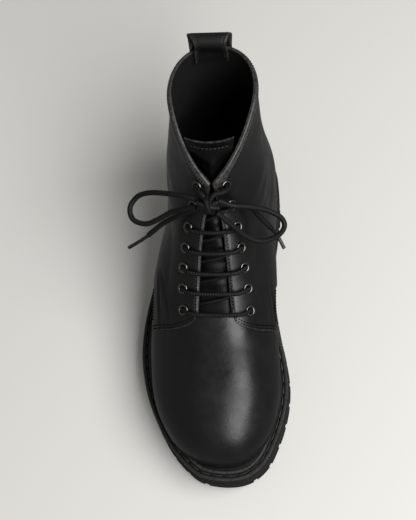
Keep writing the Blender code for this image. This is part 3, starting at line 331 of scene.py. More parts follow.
@dataclass(frozen=True)
class Last:
    """The shape that the leather is pulled over: a foot form joined smoothly to a shaft form."""

    length: float = 285 * MM
    ball_width: float = 100 * MM
    heel_seat: float = 38 * MM
    ball_seat: float = 26 * MM
    toe_spring: float = 8 * MM
    instep: float = 66 * MM
    collar: float = 170 * MM
    heel_point: float = 33 * MM
    side: float = -3 * MM
    heel_fan: float = 0.17
    toe_fan: float = 0.77
    plan_round: float = 2.2
    blend: float = 14 * MM
    over_reach: float = 0.75
    gauge_scale: float = 0.4

    def along(self, y: Array) -> Array:
        """Share of the last's length at a place on the y axis."""
        return (self.heel_point - y) / self.length

    def y_at(self, along: Any) -> Any:
        """Place on the y axis at a share of the last's length."""
        return self.heel_point - along * self.length

    def seat(self, along: Any) -> Array:
        """Height of the feather line, where the upper meets the welt."""
        heel = column_value(SEAT_ROWS, "heel", along) * self.heel_seat
        ball = column_value(SEAT_ROWS, "ball", along) * self.ball_seat
        return heel + ball + column_value(SEAT_ROWS, "spring", along) * self.toe_spring

    def middle(self, along: Any) -> Array:
        """Place on the x axis of the last's middle."""
        return self.side + column_value(LAST_ROWS, "middle", along) * self.ball_width

    def plan_half(self, along: Any, side: int, swell: Any = 0.0) -> Array:
        """Half width of the foot form before its ends are rounded."""
        name = "lateral" if side < 0 else "medial"
        share = column_value(LAST_ROWS, name, along)
        return (share + swell * column_value(LAST_ROWS, "over_" + name, along)) * self.ball_width

    def fans(self, along: Array) -> tuple[Array, Array]:
        """How far a place is into the round heel and the round toe, each 1 at its tip."""
        heel = np.clip((self.heel_fan - along) / self.heel_fan, 0, None)
        return heel, np.clip((along - self.toe_fan) / (1 - self.toe_fan), 0, None)

    def foot(self, p: Array) -> Array:
        """Signed gauge of the foot form."""
        along = self.along(p[:, 1])
        ridge = column_value(LAST_ROWS, "ridge", along) * self.instep
        height = np.maximum(p[:, 2] - self.seat(along), 0) / ridge
        off = p[:, 0] - self.middle(along)
        swell = np.clip(height / self.over_reach, 0, 1)
        swell = 4 * swell * (1 - swell)
        half = np.where(off < 0, self.plan_half(along, -1, swell), self.plan_half(along, 1, swell))
        heel, toe = self.fans(along)
        n = self.plan_round
        plan = (np.abs(off / half) ** n + heel**n + toe**n) ** (1 / n)
        top = column_value(LAST_ROWS, "top", along)
        return ((plan**top + height**top) ** (1 / top) - 1) * self.gauge_scale * self.ball_width

    def shaft(self, p: Array) -> Array:
        """Signed gauge of the shaft form."""
        height = (p[:, 2] - self.heel_seat) / (self.collar - self.heel_seat)
        along = self.along(p[:, 1])
        read = {name: column_value(SHAFT_ROWS, name, height) for name in ShaftRow._fields[1:]}
        ahead = along > read["widest"]
        reach = np.where(ahead, read["front"] - read["widest"], read["widest"] - read["back"])
        off = p[:, 0] - self.side - read["middle"] * self.ball_width
        half = np.where(off < 0, read["lateral"], read["medial"]) * self.ball_width
        n = np.where(ahead, read["point"], self.plan_round)
        plan = (np.abs(off / half) ** n + (np.abs(along - read["widest"]) / reach) ** n) ** (1 / n)
        return (plan - 1) * self.gauge_scale * self.ball_width

    def form(self, p: Array) -> Array:
        """Below zero inside the last and above zero outside."""
        foot, shaft = self.foot(p), self.shaft(p)
        h = np.clip(0.5 + 0.5 * (shaft - foot) / self.blend, 0, 1)
        return shaft * (1 - h) + foot * h - self.blend * h * (1 - h)

    def slope(self, p: Array, step: float = 0.4 * MM) -> Array:
        """Gradient of the form."""
        g = np.empty_like(p)
        for k in range(3):
            d = np.zeros(3)
            d[k] = step
            g[:, k] = (self.form(p + d) - self.form(p - d)) / (2 * step)
        return g

    def outward(self, p: Array) -> Array:
        """Unit normals of the form."""
        return unit(self.slope(p))

    def onto(self, p: Array, rounds: int = 12, longest: float = 8 * MM) -> Array:
        """Points moved along the form's slope until they lie on it."""
        p = np.array(p, float)
        for _ in range(rounds):
            g = self.slope(p)
            move = -self.form(p)[:, None] * g / np.maximum((g * g).sum(1), 1e-6)[:, None]
            size = np.linalg.norm(move, axis=1)[:, None]
            p = p + move * np.minimum(1, longest / np.maximum(size, 1e-12))
        return p

    def cast(self, start: Array, way: Array, far: float = 0.2, halvings: int = 32) -> Array:
        """Where rays that start inside the form leave it.

        Args:
            start: Points inside the form.
            way: One direction for each point, or one for all.
            far: Length of the rays.
            halvings: How often the range is halved.

        Returns:
            The points where the rays leave.
        """
        start = np.atleast_2d(start).astype(float)
        way = np.broadcast_to(np.atleast_2d(way).astype(float), start.shape)
        near, out = np.zeros(len(start)), np.full(len(start), far)
        for _ in range(halvings):
            mid = (near + out) / 2
            inside = self.form(start + mid[:, None] * way) < 0
            near, out = np.where(inside, mid, near), np.where(inside, out, mid)
        return start + out[:, None] * way


@dataclass(frozen=True)
class Pattern:
    """The upper's cutting lines on the last."""

    last: Last = Last()
    throat_top: float = 0.371
    throat_bottom: float = 0.636
    throat_corner: float = 0.005
    throat_width: float = 25.6 * MM
    collar_dip: float = 20 * MM
    quarter_foot: float = 0.645
    quarter_bow: float = 5.5 * MM
    ankle_share: float = 0.50
    edge_row: float = 0.30
    ramp: float = 0.7 * MM
    eyelet_inset: float = 14 * MM
    eyelets: int = 7
    first_eyelet: float = 0.035
    eyelet_run: float = 0.93
    step: float = 1.2 * MM
    seam_hub: float = 0.15
    shaft_hub: float = 0.17
    ridge_hub: float = 0.80
    hub_rise: float = 1.1
    ridge_hub_rise: float = 1.3
    collar_turn: float = 0.96
    bow_places: tuple[float, ...] = (0, 0.30, 0.45, 0.62, 0.80, 0.92, 1)
    bow_shares: tuple[float, ...] = (0, 0, 0.35, 0.9, 1, 0.75, 0)

    def feather(self, side: int, count: int = 500) -> Array:
        """The line where the upper meets the welt, from the heel point to the toe's tip."""
        last = self.last
        along = (1 - np.cos(np.linspace(0, math.pi, count))) / 2
        heel, toe = last.fans(along)
        n = last.plan_round
        half = last.plan_half(along, side) * np.maximum(1 - heel**n - toe**n, 0) ** (1 / n)
        return np.stack([last.middle(along) + side * half, last.y_at(along), last.seat(along)], 1)

    def back(self, count: int = 120) -> Array:
        """The back seam, from the feather to the collar."""
        last = self.last
        z = np.linspace(float(last.seat(0.0)), last.collar, count)
        height = (z - last.heel_seat) / (last.collar - last.heel_seat)
        x = last.side + column_value(SHAFT_ROWS, "middle", height) * last.ball_width
        line = last.cast(np.stack([x, np.full(count, last.y_at(self.seam_hub)), z], 1), np.array([0, 1, 0]))
        line[0] = self.feather(1)[0]
        return line

    def facing(self, side: int, count: int = 160) -> Array:
        """The facing's front edge, from the V down to the throat's corner."""
        last = self.last
        share = np.linspace(0, 1, count)
        along = self.throat_top + share * (self.throat_bottom - self.throat_top)
        x = last.middle(along) + side * column_value(THROAT_ROWS, "half", share) * self.throat_width
        start = np.stack([x, last.y_at(along), np.full(count, self.hub_rise * last.heel_seat)], 1)
        return last.cast(start, np.array([0, 0, 1]))

    def throat_floor(self, side: int, count: int = 60) -> Array:
        """The throat's bottom edge, from the facing's corner to its middle."""
        last = self.last
        share = np.linspace(0, 1, count)
        along = self.throat_bottom + self.throat_corner * np.sin(share * math.pi / 2)
        x = last.middle(along) + side * THROAT_ROWS[-1].half * self.throat_width * (1 - share)
        start = np.stack([x, last.y_at(along), np.full(count, self.hub_rise * last.heel_seat)], 1)
        return last.cast(start, np.array([0, 0, 1]))

    def collar(self, side: int, count: int = 160) -> Array:
        """The collar's edge, from the back round to the V."""
        last = self.last
        turn = np.linspace(0, self.collar_turn, count)
        x = np.full(count, last.side + SHAFT_ROWS[-1].middle * last.ball_width)
        z = last.collar - column_value(COLLAR_ROWS, "drop", turn) * self.collar_dip
        way = np.stack([side * np.sin(turn * math.pi), np.cos(turn * math.pi), 0 * turn], 1)
        line = last.cast(np.stack([x, np.full(count, last.y_at(self.shaft_hub)), z], 1), way)
        line[0] = self.back()[-1]
        return np.concatenate([line, self.facing(side)[:1]])

    def ridge(self, count: int = 160) -> Array:
        """The vamp's ridge, from the toe's tip up to the throat."""
        toe, top = self.feather(1)[-1], self.throat_floor(1)[-1]
        hub = np.array([0, self.last.y_at(self.ridge_hub), self.ridge_hub_rise * self.last.ball_seat])
        first = math.atan2(toe[2] - hub[2], hub[1] - toe[1])
        angle = np.linspace(first, math.atan2(top[2] - hub[2], hub[1] - top[1]), count)
        start = np.repeat([hub], count, 0)
        start[:, 0] = np.linspace(toe[0], top[0], count)
        line = self.last.cast(start, np.stack([0 * angle, -np.cos(angle), np.sin(angle)], 1))
        line[0], line[-1] = toe, top
        return line

    def quarter_front(self, foot: Array, corner: Array, count: int = 160) -> Array:
        """The quarter's front edge, from the feather up to the throat's corner, bowed to the toe."""
        share = np.linspace(0, 1, count)
        bow = np.interp(share, self.bow_places, self.bow_shares)
        line = foot * (1 - share[:, None]) + corner * share[:, None]
        line[:, 1] -= bow * self.quarter_bow
        line = self.last.onto(line)
        line[0], line[-1] = foot, corner
        return line

    def eyelet_places(self, side: int) -> tuple[Array, Array]:
        """Centres and outward normals of one row of eyelets, top one first."""
        shares = self.first_eyelet + np.arange(self.eyelets) / (self.eyelets - 1) * self.eyelet_run
        at = spaced(self.facing(side, 40), shares)
        column = "lateral" if side < 0 else "medial"
        at[:, 0] += side * column_value(EYELET_ROWS, column, shares) * self.eyelet_inset
        centre = self.last.onto(at)
        normal = self.last.outward(centre)
        return centre + normal * self.step, normal


def soft_step(x: Array, start: float, end: float) -> Array:
    """Rises smoothly from 0 at start to 1 at end."""
    t = np.clip((x - start) / (end - start), 0, 1)
    return t * t * (3 - 2 * t)


def distance_to(line: Array, p: Array) -> tuple[Array, Array]:
    """Distance of points from a polyline, and the share of its length where each is nearest."""
    best = np.full(len(p), 1e9)
    at = np.zeros(len(p))
    run = lengths_along(line)
    for k, (a, b) in enumerate(zip(line[:-1], line[1:])):
        d = b - a
        t = np.clip((p - a) @ d / max(float(d @ d), 1e-12), 0, 1)
        far = np.linalg.norm(p - a - t[:, None] * d, axis=1)
        near = far < best
        best = np.where(near, far, best)
        at = np.where(near, (run[k] + t * (run[k + 1] - run[k])) / run[-1], at)
    return best, at


def mesh_object(
    name: str, points: Array, faces: Sequence[Sequence[int]], sharp: float = 40.0
) -> bpy.types.Object:
    """Makes a smooth-shaded mesh object with its faces turned outward.

    Args:
        name: The object's name.
        points: Its points.
        faces: Its faces, as indices of the points.
        sharp: Edges that bend more than this many degrees stay sharp.

    Returns:
        The new object, linked to the scene.
    """
    mesh = bpy.data.meshes.new(name)
    mesh.from_pydata(np.asarray(points, float).tolist(), [], [tuple(map(int, f)) for f in faces])
    work = bmesh.new()
    work.from_mesh(mesh)
    bmesh.ops.recalc_face_normals(work, faces=work.faces)
    work.to_mesh(mesh)
    work.free()
    mesh.shade_smooth()
    mesh.set_sharp_from_angle(angle=math.radians(sharp))
    made = bpy.data.objects.new(name, mesh)
    bpy.context.scene.collection.objects.link(made)
    return made


def grid_faces(columns: int, rows: int, closed: bool = False, first: int = 0) -> list[tuple[int, ...]]:
    """Quads of a grid stored column by column, open or closed round its columns."""
    faces = []
    for i in range(columns if closed else columns - 1):
        k = (i + 1) % columns
        for j in range(rows - 1):
            a, b = first + i * rows + j, first + k * rows + j
            faces.append((a, b, b + 1, a + 1))
    return faces


def section_faces(columns: int, rows: int, closed: bool = False) -> list[tuple[int, ...]]:
    """Quads of a sweep: every column is a closed section of its rows, with end caps if open."""
    faces = []
    for i in range(columns if closed else columns - 1):
        k = (i + 1) % columns
        for j in range(rows):
            m = (j + 1) % rows
            faces.append((i * rows + j, k * rows + j, k * rows + m, i * rows + m))
    if not closed:
        faces.append(tuple(range(rows)))
        faces.append(tuple(range((columns - 1) * rows, columns * rows)))
    return faces


def add_float(mesh: bpy.types.Mesh, name: str, values: Array) -> None:
    """Stores one number for each point of a mesh, for its material to read."""
    mesh.attributes.new(name, "FLOAT", "POINT").data.foreach_set("value", values.astype(np.float32))


def joined(parts: Sequence[tuple[Array, Sequence[Sequence[int]]]]) -> tuple[Array, list[tuple[int, ...]]]:
    """Points and faces of several shapes as one."""
    points, faces, skip = [], [], 0
    for more, quads in parts:
        points.append(np.asarray(more, float))
        faces += [tuple(skip + i for i in face) for face in quads]
        skip += len(more)
    return np.concatenate(points), faces


def tube_shape(path: Array, radius: float | Array, sides: int = 12) -> tuple[Array, list[tuple[int, ...]]]:
    """Points and faces of a round cord along a path, with flat ends.

    Args:
        path: Points of its centreline.
        radius: Its radius, one for all points or one for each.
        sides: How many sides its section has.

    Returns:
        Points and faces.
    """
    tangent = unit(np.gradient(path, axis=0))
    radii = np.broadcast_to(np.asarray(radius, float), (len(path),))
    across = np.cross(tangent[0], [0.13, 0.21, 0.97])
    angle = 2 * math.pi * np.arange(sides) / sides
    rings = []
    for at, way, r in zip(path, tangent, radii):
        across = unit(across - way * across.dot(way))
        up = np.cross(way, across)
        rings.append(at + r * (np.cos(angle)[:, None] * across + np.sin(angle)[:, None] * up))
    return np.concatenate(rings), section_faces(len(path), sides)


def add_round_map(made: bpy.types.Object, columns: int, rows: int, run: Array) -> None:
    """Gives a swept tube a map: u goes once round it and v is the millimetres along it."""
    layer = made.data.uv_layers.new(name="winding")
    for face in made.data.polygons:
        spots = [made.data.loops[i].vertex_index for i in face.loop_indices]
        wraps = {s % rows for s in spots} == {0, rows - 1}
        for i, s in zip(face.loop_indices, spots):
            u = (s % rows) / rows
            if wraps and s % rows == 0:
                u = 1.0
            layer.data[i].uv = (u, run[min(s // rows, columns - 1)] / MM)


class StitchRow(NamedTuple):
    """Shape of a stitch: place along it, height in radii, and share of the thread's radius."""

    along: float
    lift: float
    width: float


STITCH_ROWS = (
    StitchRow(-0.5, -0.70, 0.7),
    StitchRow(-0.3, 0.35, 1.0),
    StitchRow(0.0, 0.60, 1.0),
    StitchRow(0.3, 0.35, 1.0),
    StitchRow(0.5, -0.70, 0.7),
)


class Stitch(NamedTuple):
    """Distance from one stitch of a row to the next, its length, and its thread's radius."""

    pitch: float
    length: float
    radius: float


def stitches(line: Array, normal: Array, stitch: Stitch, sides: int = 6) -> tuple[Array, list]:
    """A row of stitches: each dips into the leather at both its ends.

    Args:
        line: The seam's line.
        normal: Outward normals at its points.
        stitch: Sizes of one stitch.
        sides: How many sides the thread's section has.

    Returns:
        Points and faces of all the stitches.
    """
    run = lengths_along(line)
    along, lift, width = (np.array(column) for column in zip(*STITCH_ROWS))
    parts = []
    for k in range(int(run[-1] / stitch.pitch)):
        middle = (k + 0.5) * stitch.pitch
        at = middle + along * stitch.length
        path = np.stack([np.interp(at, run, line[:, c]) for c in range(3)], 1)
        out = np.array([np.interp(middle, run, normal[:, c]) for c in range(3)])
        path = path + out * (lift[:, None] * stitch.radius)
        parts.append(tube_shape(path, stitch.radius * width, sides))
    return joined(parts)


def linear(hex_code: str) -> tuple[float, float, float, float]:
    """Turns an sRGB hex colour into a linear one with full alpha."""
    part = [int(hex_code[i:i + 2], 16) / 255 for i in (1, 3, 5)]
    return (*[c / 12.92 if c <= 0.04045 else ((c + 0.055) / 1.055) ** 2.4 for c in part], 1.0)


def add_node(
    tree: bpy.types.NodeTree,
    kind: str,
    settings: dict[Any, Any] | None = None,
    links: dict[Any, Any] | None = None,
) -> bpy.types.Node:
    """Adds a node with its settings and its links.

    Args:
        tree: The material's node tree.
        kind: The node's type name.
        settings: Attributes, or values of input sockets, by name.
        links: Sockets that feed the node, by the name or number of its input.

    Returns:
        The new node.
    """
    node = tree.nodes.new(kind)
    for name, value in (settings or {}).items():
        if isinstance(name, str) and hasattr(node, name):
            setattr(node, name, value)
        else:
            node.inputs[name].default_value = value
    for name, source in (links or {}).items():
        tree.links.new(source, node.inputs[name])
    return node


@dataclass(frozen=True)
class Finish:
    """What every surface has: a name, two colours that it varies between, and its shine."""

    name: str
    colour: str
    second: str
    roughness: float
    roughness_spread: float = 0.08
    metallic: float = 0.0
    patch: float = 18 * MM
    sheen: float = 0.0
    gleam: float = 0.5

    def build(self) -> bpy.types.Material:
        """Makes the material.

        Returns:
            A material whose colour and roughness drift softly over the surface.
        """
        made = bpy.data.materials.new(self.name)
        made.use_nodes = True
        tree = made.node_tree
        shader = tree.nodes["Principled BSDF"]
        shader.inputs["Metallic"].default_value = self.metallic
        shader.inputs["Sheen Weight"].default_value = self.sheen
        shader.inputs["Specular IOR Level"].default_value = self.gleam
        place = add_node(tree, "ShaderNodeTexCoord").outputs["Object"]
        drift = add_node(
            tree,
            "ShaderNodeTexNoise",
            {"Scale": 1 / self.patch, "Detail": 4.0, "Roughness": 0.6},
            {"Vector": place},
        ).outputs["Fac"]
        mix = add_node(
            tree,
            "ShaderNodeMix",
            {"data_type": "RGBA", 6: linear(self.colour), 7: linear(self.second)},
            {0: drift},
        ).outputs[2]
        tree.links.new(self.worn(tree, mix), shader.inputs["Base Color"])
        low, high = self.roughness - self.roughness_spread, self.roughness + self.roughness_spread
        rough = add_node(
            tree,
            "ShaderNodeMapRange",
            {"From Min": 0.3, "From Max": 0.7, "To Min": low, "To Max": high},
            {"Value": drift},
        ).outputs["Result"]
        tree.links.new(rough, shader.inputs["Roughness"])
        relief = self.relief(tree, place)
        if relief is not None:
            tree.links.new(relief, shader.inputs["Normal"])
        return made

    def worn(self, tree: bpy.types.NodeTree, colour: Any) -> Any:
        """The colour with its wear; plain here."""
        return colour

    def relief(self, tree: bpy.types.NodeTree, place: Any) -> Any:
        """The fine surface as a normal; flat here."""
        return None


@dataclass(frozen=True)
class Leather(Finish):
    """Satin-finished cowhide: a fine pebbled grain, with edges and stitched seams rubbed a little grey."""

    grain: float = 0.9 * MM
    grain_depth: float = 0.05 * MM
    scuff: float = 2.4 * MM
    hide: float = 7 * MM
    hide_depth: float = 0.32 * MM
    edge: str = "#4b4948"

    def worn(self, tree: bpy.types.NodeTree, colour: Any) -> Any:
        """Lets the rubbed edges show the greyer leather under the finish; on the welt this grey is also
        painted highlight along its outer edge and bead.
        """
        wear = add_node(tree, "ShaderNodeAttribute", {"attribute_name": "wear"}).outputs["Fac"]
        place = add_node(tree, "ShaderNodeTexCoord").outputs["Object"]
        scuff = add_node(
            tree, "ShaderNodeTexNoise", {"Scale": 1 / self.scuff, "Detail": 2.0}, {"Vector": place}
        ).outputs["Fac"]
        shown = add_node(
            tree, "ShaderNodeMapRange", {"From Min": 0.36, "From Max": 0.62, "To Min": 0.25}, {"Value": scuff}
        ).outputs["Result"]
        share = add_node(tree, "ShaderNodeMath", {"operation": "MULTIPLY"}, {0: wear, 1: shown}).outputs[0]
        return add_node(
            tree, "ShaderNodeMix", {"data_type": "RGBA", 7: linear(self.edge)}, {0: share, 6: colour}
        ).outputs[2]

    def relief(self, tree: bpy.types.NodeTree, place: Any) -> Any:
        """Pebbled grain over a slower unevenness of the hide."""
        cells = add_node(
            tree, "ShaderNodeTexVoronoi", {"feature": "SMOOTH_F1", "Scale": 1 / self.grain}, {"Vector": place}
        ).outputs["Distance"]
        slow = add_node(
            tree, "ShaderNodeTexNoise", {"Scale": 1 / self.hide, "Detail": 3.0}, {"Vector": place}
        ).outputs["Fac"]
        fine = add_node(
            tree, "ShaderNodeBump", {"Strength": 0.5, "Distance": self.grain_depth}, {"Height": cells}
        ).outputs["Normal"]
        return add_node(
            tree,
            "ShaderNodeBump",
            {"Strength": 0.5, "Distance": self.hide_depth},
            {"Height": slow, "Normal": fine},
        ).outputs["Normal"]


@dataclass(frozen=True)
class Rubber(Finish):
    """Moulded rubber: matt, with the fine texture of the mould."""

    texture: float = 0.7 * MM

    def relief(self, tree: bpy.types.NodeTree, place: Any) -> Any:
        """The mould's fine texture."""
        noise = add_node(
            tree, "ShaderNodeTexNoise", {"Scale": 1 / self.texture, "Detail": 2.0}, {"Vector": place}
        ).outputs["Fac"]
        return add_node(
            tree, "ShaderNodeBump", {"Strength": 0.6, "Distance": 0.12 * MM}, {"Height": noise}
        ).outputs["Normal"]


@dataclass(frozen=True)
class WovenLining(Finish):
    """Brushed textile lining: small crossed threads, no shine."""

    thread: float = 0.8 * MM

    def relief(self, tree: bpy.types.NodeTree, place: Any) -> Any:
        """Crossed threads, drawn at the smallest size that still shows."""
        waves = [
            add_node(
                tree,
                "ShaderNodeTexWave",
                {"bands_direction": way, "Scale": 0.5 / self.thread},
                {"Vector": place},
            ).outputs["Fac"]
            for way in ("X", "Z")
        ]
        both = add_node(
            tree, "ShaderNodeMath", {"operation": "MAXIMUM"}, {0: waves[0], 1: waves[1]}
        ).outputs[0]
        return add_node(
            tree, "ShaderNodeBump", {"Strength": 0.35, "Distance": 0.2 * MM}, {"Height": both}
        ).outputs["Normal"]


@dataclass(frozen=True)
class BraidedCord(Finish):
    """Waxed cotton cord, braided round: two sets of strands wind round it both ways."""

    strands: int = 6
    lay: float = 4.0

    def relief(self, tree: bpy.types.NodeTree, place: Any) -> Any:
        """Crossing strands from the tube's own map, whose v runs in millimetres."""
        uv = add_node(tree, "ShaderNodeUVMap", {"uv_map": "winding"}).outputs["UV"]
        parts = add_node(tree, "ShaderNodeSeparateXYZ", None, {0: uv}).outputs
        turn = 2 * math.pi
        around, along = (
            add_node(tree, "ShaderNodeMath", {"operation": "MULTIPLY", 1: rate}, {0: part}).outputs[0]
            for rate, part in ((turn * self.strands / 2, parts[0]), (turn / self.lay, parts[1]))
        )
        strands = []
        for way in ("ADD", "SUBTRACT"):
            angle = add_node(tree, "ShaderNodeMath", {"operation": way}, {0: around, 1: along}).outputs[0]
            strands.append(add_node(tree, "ShaderNodeMath", {"operation": "SINE"}, {0: angle}).outputs[0])
        height = add_node(
            tree, "ShaderNodeMath", {"operation": "MULTIPLY"}, {0: strands[0], 1: strands[1]}
        ).outputs[0]
        return add_node(
            tree, "ShaderNodeBump", {"Strength": 0.6, "Distance": 0.25 * MM}, {"Height": height}
        ).outputs["Normal"]


class Finishes:
    """The boot's materials, each built once."""

    def __init__(self) -> None:
        # Satin cowhide: black with a soft wide gleam
        self.leather = Leather("satin_cowhide_leather", "#080808", "#0e0d0d", 0.37, gleam=0.54).build()
        # The tongue is softer and duller, with a coarser grain
        self.tongue = Leather(
            "soft_tongue_leather", "#070707", "#0c0b0b", 0.40, gleam=0.22, grain=1.1 * MM
        ).build()
        # The loop's smooth strap leather: matt, a little greyer than the upper
        self.strap = Leather(
            "smooth_strap_leather", "#131212", "#191818", 0.5, gleam=0.3, grain=0.7 * MM
        ).build()
        # Brushed textile, nearly black in the shaft
        self.lining = WovenLining("brushed_textile_lining", "#131212", "#1a1918", 0.9, gleam=0.2).build()
        # Dressed welt strip: dull, with grey along its edge and its bead: rubbed wear, and painted highlight
        # where they catch the light
        self.welt = Leather(
            "dressed_welt_leather", "#121212", "#191818", 0.55, gleam=0.3, grain=0.8 * MM
        ).build()
        # Moulded rubber of sole and heel
        self.rubber = Rubber("moulded_black_rubber", "#131313", "#1a1919", 0.6, gleam=0.3).build()
        # Waxed polyester thread: slight gleam along every stitch
        self.thread = Finish("waxed_sewing_thread", "#1e1d1d", "#2b2a29", 0.5, patch=3 * MM).build()
        # Black thread pulled deep into its holes; its colour, darker than the leather, is painted shade of
        # the stitch holes
        self.hole_shade_thread = Finish(
            "sunk_black_thread", "#020202", "#050505", 0.85, gleam=0.1, patch=3 * MM
        ).build()
        # The welt's thicker thread: dark grey, lightened as a painted glint on stitches that lie shaded in
        # their channel
        self.welt_thread = Finish("waxed_welt_thread", "#2c2b29", "#3b3937", 0.5, patch=6 * MM).build()
        # Blackened brass, polished: dark with bright glints
        self.metal = Finish(
            "blackened_brass", "#6b6967", "#7d7b79", 0.24, 0.05, metallic=1.0, patch=4 * MM
        ).build()
        # Waxed cotton braid: black, with the strands' small shadows
        self.cord = BraidedCord(
            "braided_waxed_cotton", "#0a0a0a", "#111010", 0.62, gleam=0.3, patch=5 * MM
        ).build()
        # Crimped plastic tips of the lace
        self.tip = Finish("crimped_plastic_tip", "#171717", "#1d1d1d", 0.25, patch=4 * MM).build()
        # Pale painted studio floor
        self.floor = Finish("pale_painted_floor", "#e9e8e3", "#edece7", 0.9, patch=0.6).build()


def dress(made: bpy.types.Object, slot: str, *finishes: bpy.types.Material) -> bpy.types.Object:
    """Gives a piece its finishes and its place on the boot's one body."""
    for finish in finishes:
        made.data.materials.append(finish)
    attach(made, "root")
    return made


@dataclass(frozen=True)
class Fold:
    """A soft crease in the leather: a trough with a swell along each side.

    The route, width and depth are in millimetres.
    """

    route: tuple[tuple[float, float, float], ...]
    width: float
    depth: float
    swell: float = 0.55
    swell_width: float = 2.1
    fade: float = 0.7
    spots: int = 14

    def height(self, p: Array) -> Array:
        """How far the fold moves each surface point outward."""
        far, at = distance_to(smooth_path(np.array(self.route) * MM, self.spots), p)
        x = far / (self.width * MM)
        fade = np.sin(np.clip(at, 0, 1) * math.pi) ** self.fade
        trough = self.swell * np.exp(-((x / self.swell_width) ** 2)) - np.exp(-(x**2))
        return self.depth * MM * fade * trough


FOLDS = (
    # Quarters: two folds beside each side seam, running down to the sole
    Fold(
        ((-49.4, -104, 77), (-48.9, -117.8, 73.7), (-48.7, -128.1, 70), (-48, -138.7, 67.3),
         (-46.6, -156, 64)), 1.7, 2.2,
    ),
    Fold(
        ((-47.2, -106, 79), (-44.8, -119.6, 78.4), (-42.9, -130.2, 75.8), (-40.8, -141.1, 74),
         (-37.6, -158, 72)), 1.7, 2.2,
    ),
    Fold(
        ((35.2, -116, 70), (35.7, -122, 67.3), (36.7, -128, 62), (37.7, -135.1, 57), (38.6, -150, 52)),
        1.8, 1.6,
    ),
    Fold(
        ((31, -124, 73), (31.5, -128.5, 71), (33.1, -135.9, 66), (34.7, -143.7, 61.7), (35.8, -152, 58)),
        1.8, 1.5,
    ),
    # Ankle: slack leather above the instep on both sides
    Fold(((-44, -84, 108), (-48, -62, 98), (-48, -38, 92), (-44, -14, 94)), 4.5, 1.5),
    Fold(((-38, -82, 122), (-41, -60, 114), (-41, -36, 110)), 4.0, 1.1),
    Fold(((32, -92, 98), (36, -70, 90), (37, -46, 84), (34, -20, 86)), 4.5, 1.5),
    Fold(((27, -84, 118), (30, -60, 110), (31, -34, 106)), 4.0, 1.0),
    Fold(((-40, 4, 84), (-26, 22, 78), (-4, 30, 76), (18, 22, 78), (32, 4, 82)), 4.0, 0.9),
    # Vamp: shallow bends where the ball flexes
    Fold(((-4, -166, 76), (10, -170, 72), (24, -172, 62), (34, -170, 48)), 4.5, 0.7),
    Fold(((-2, -180, 71), (12, -184, 66), (26, -184, 55)), 5.0, 0.55),
    Fold(((-46, -166, 60), (-36, -172, 68), (-22, -175, 73)), 5.0, 0.5),
)

# Length that stands for nowhere near an edge
FAR = 1.0


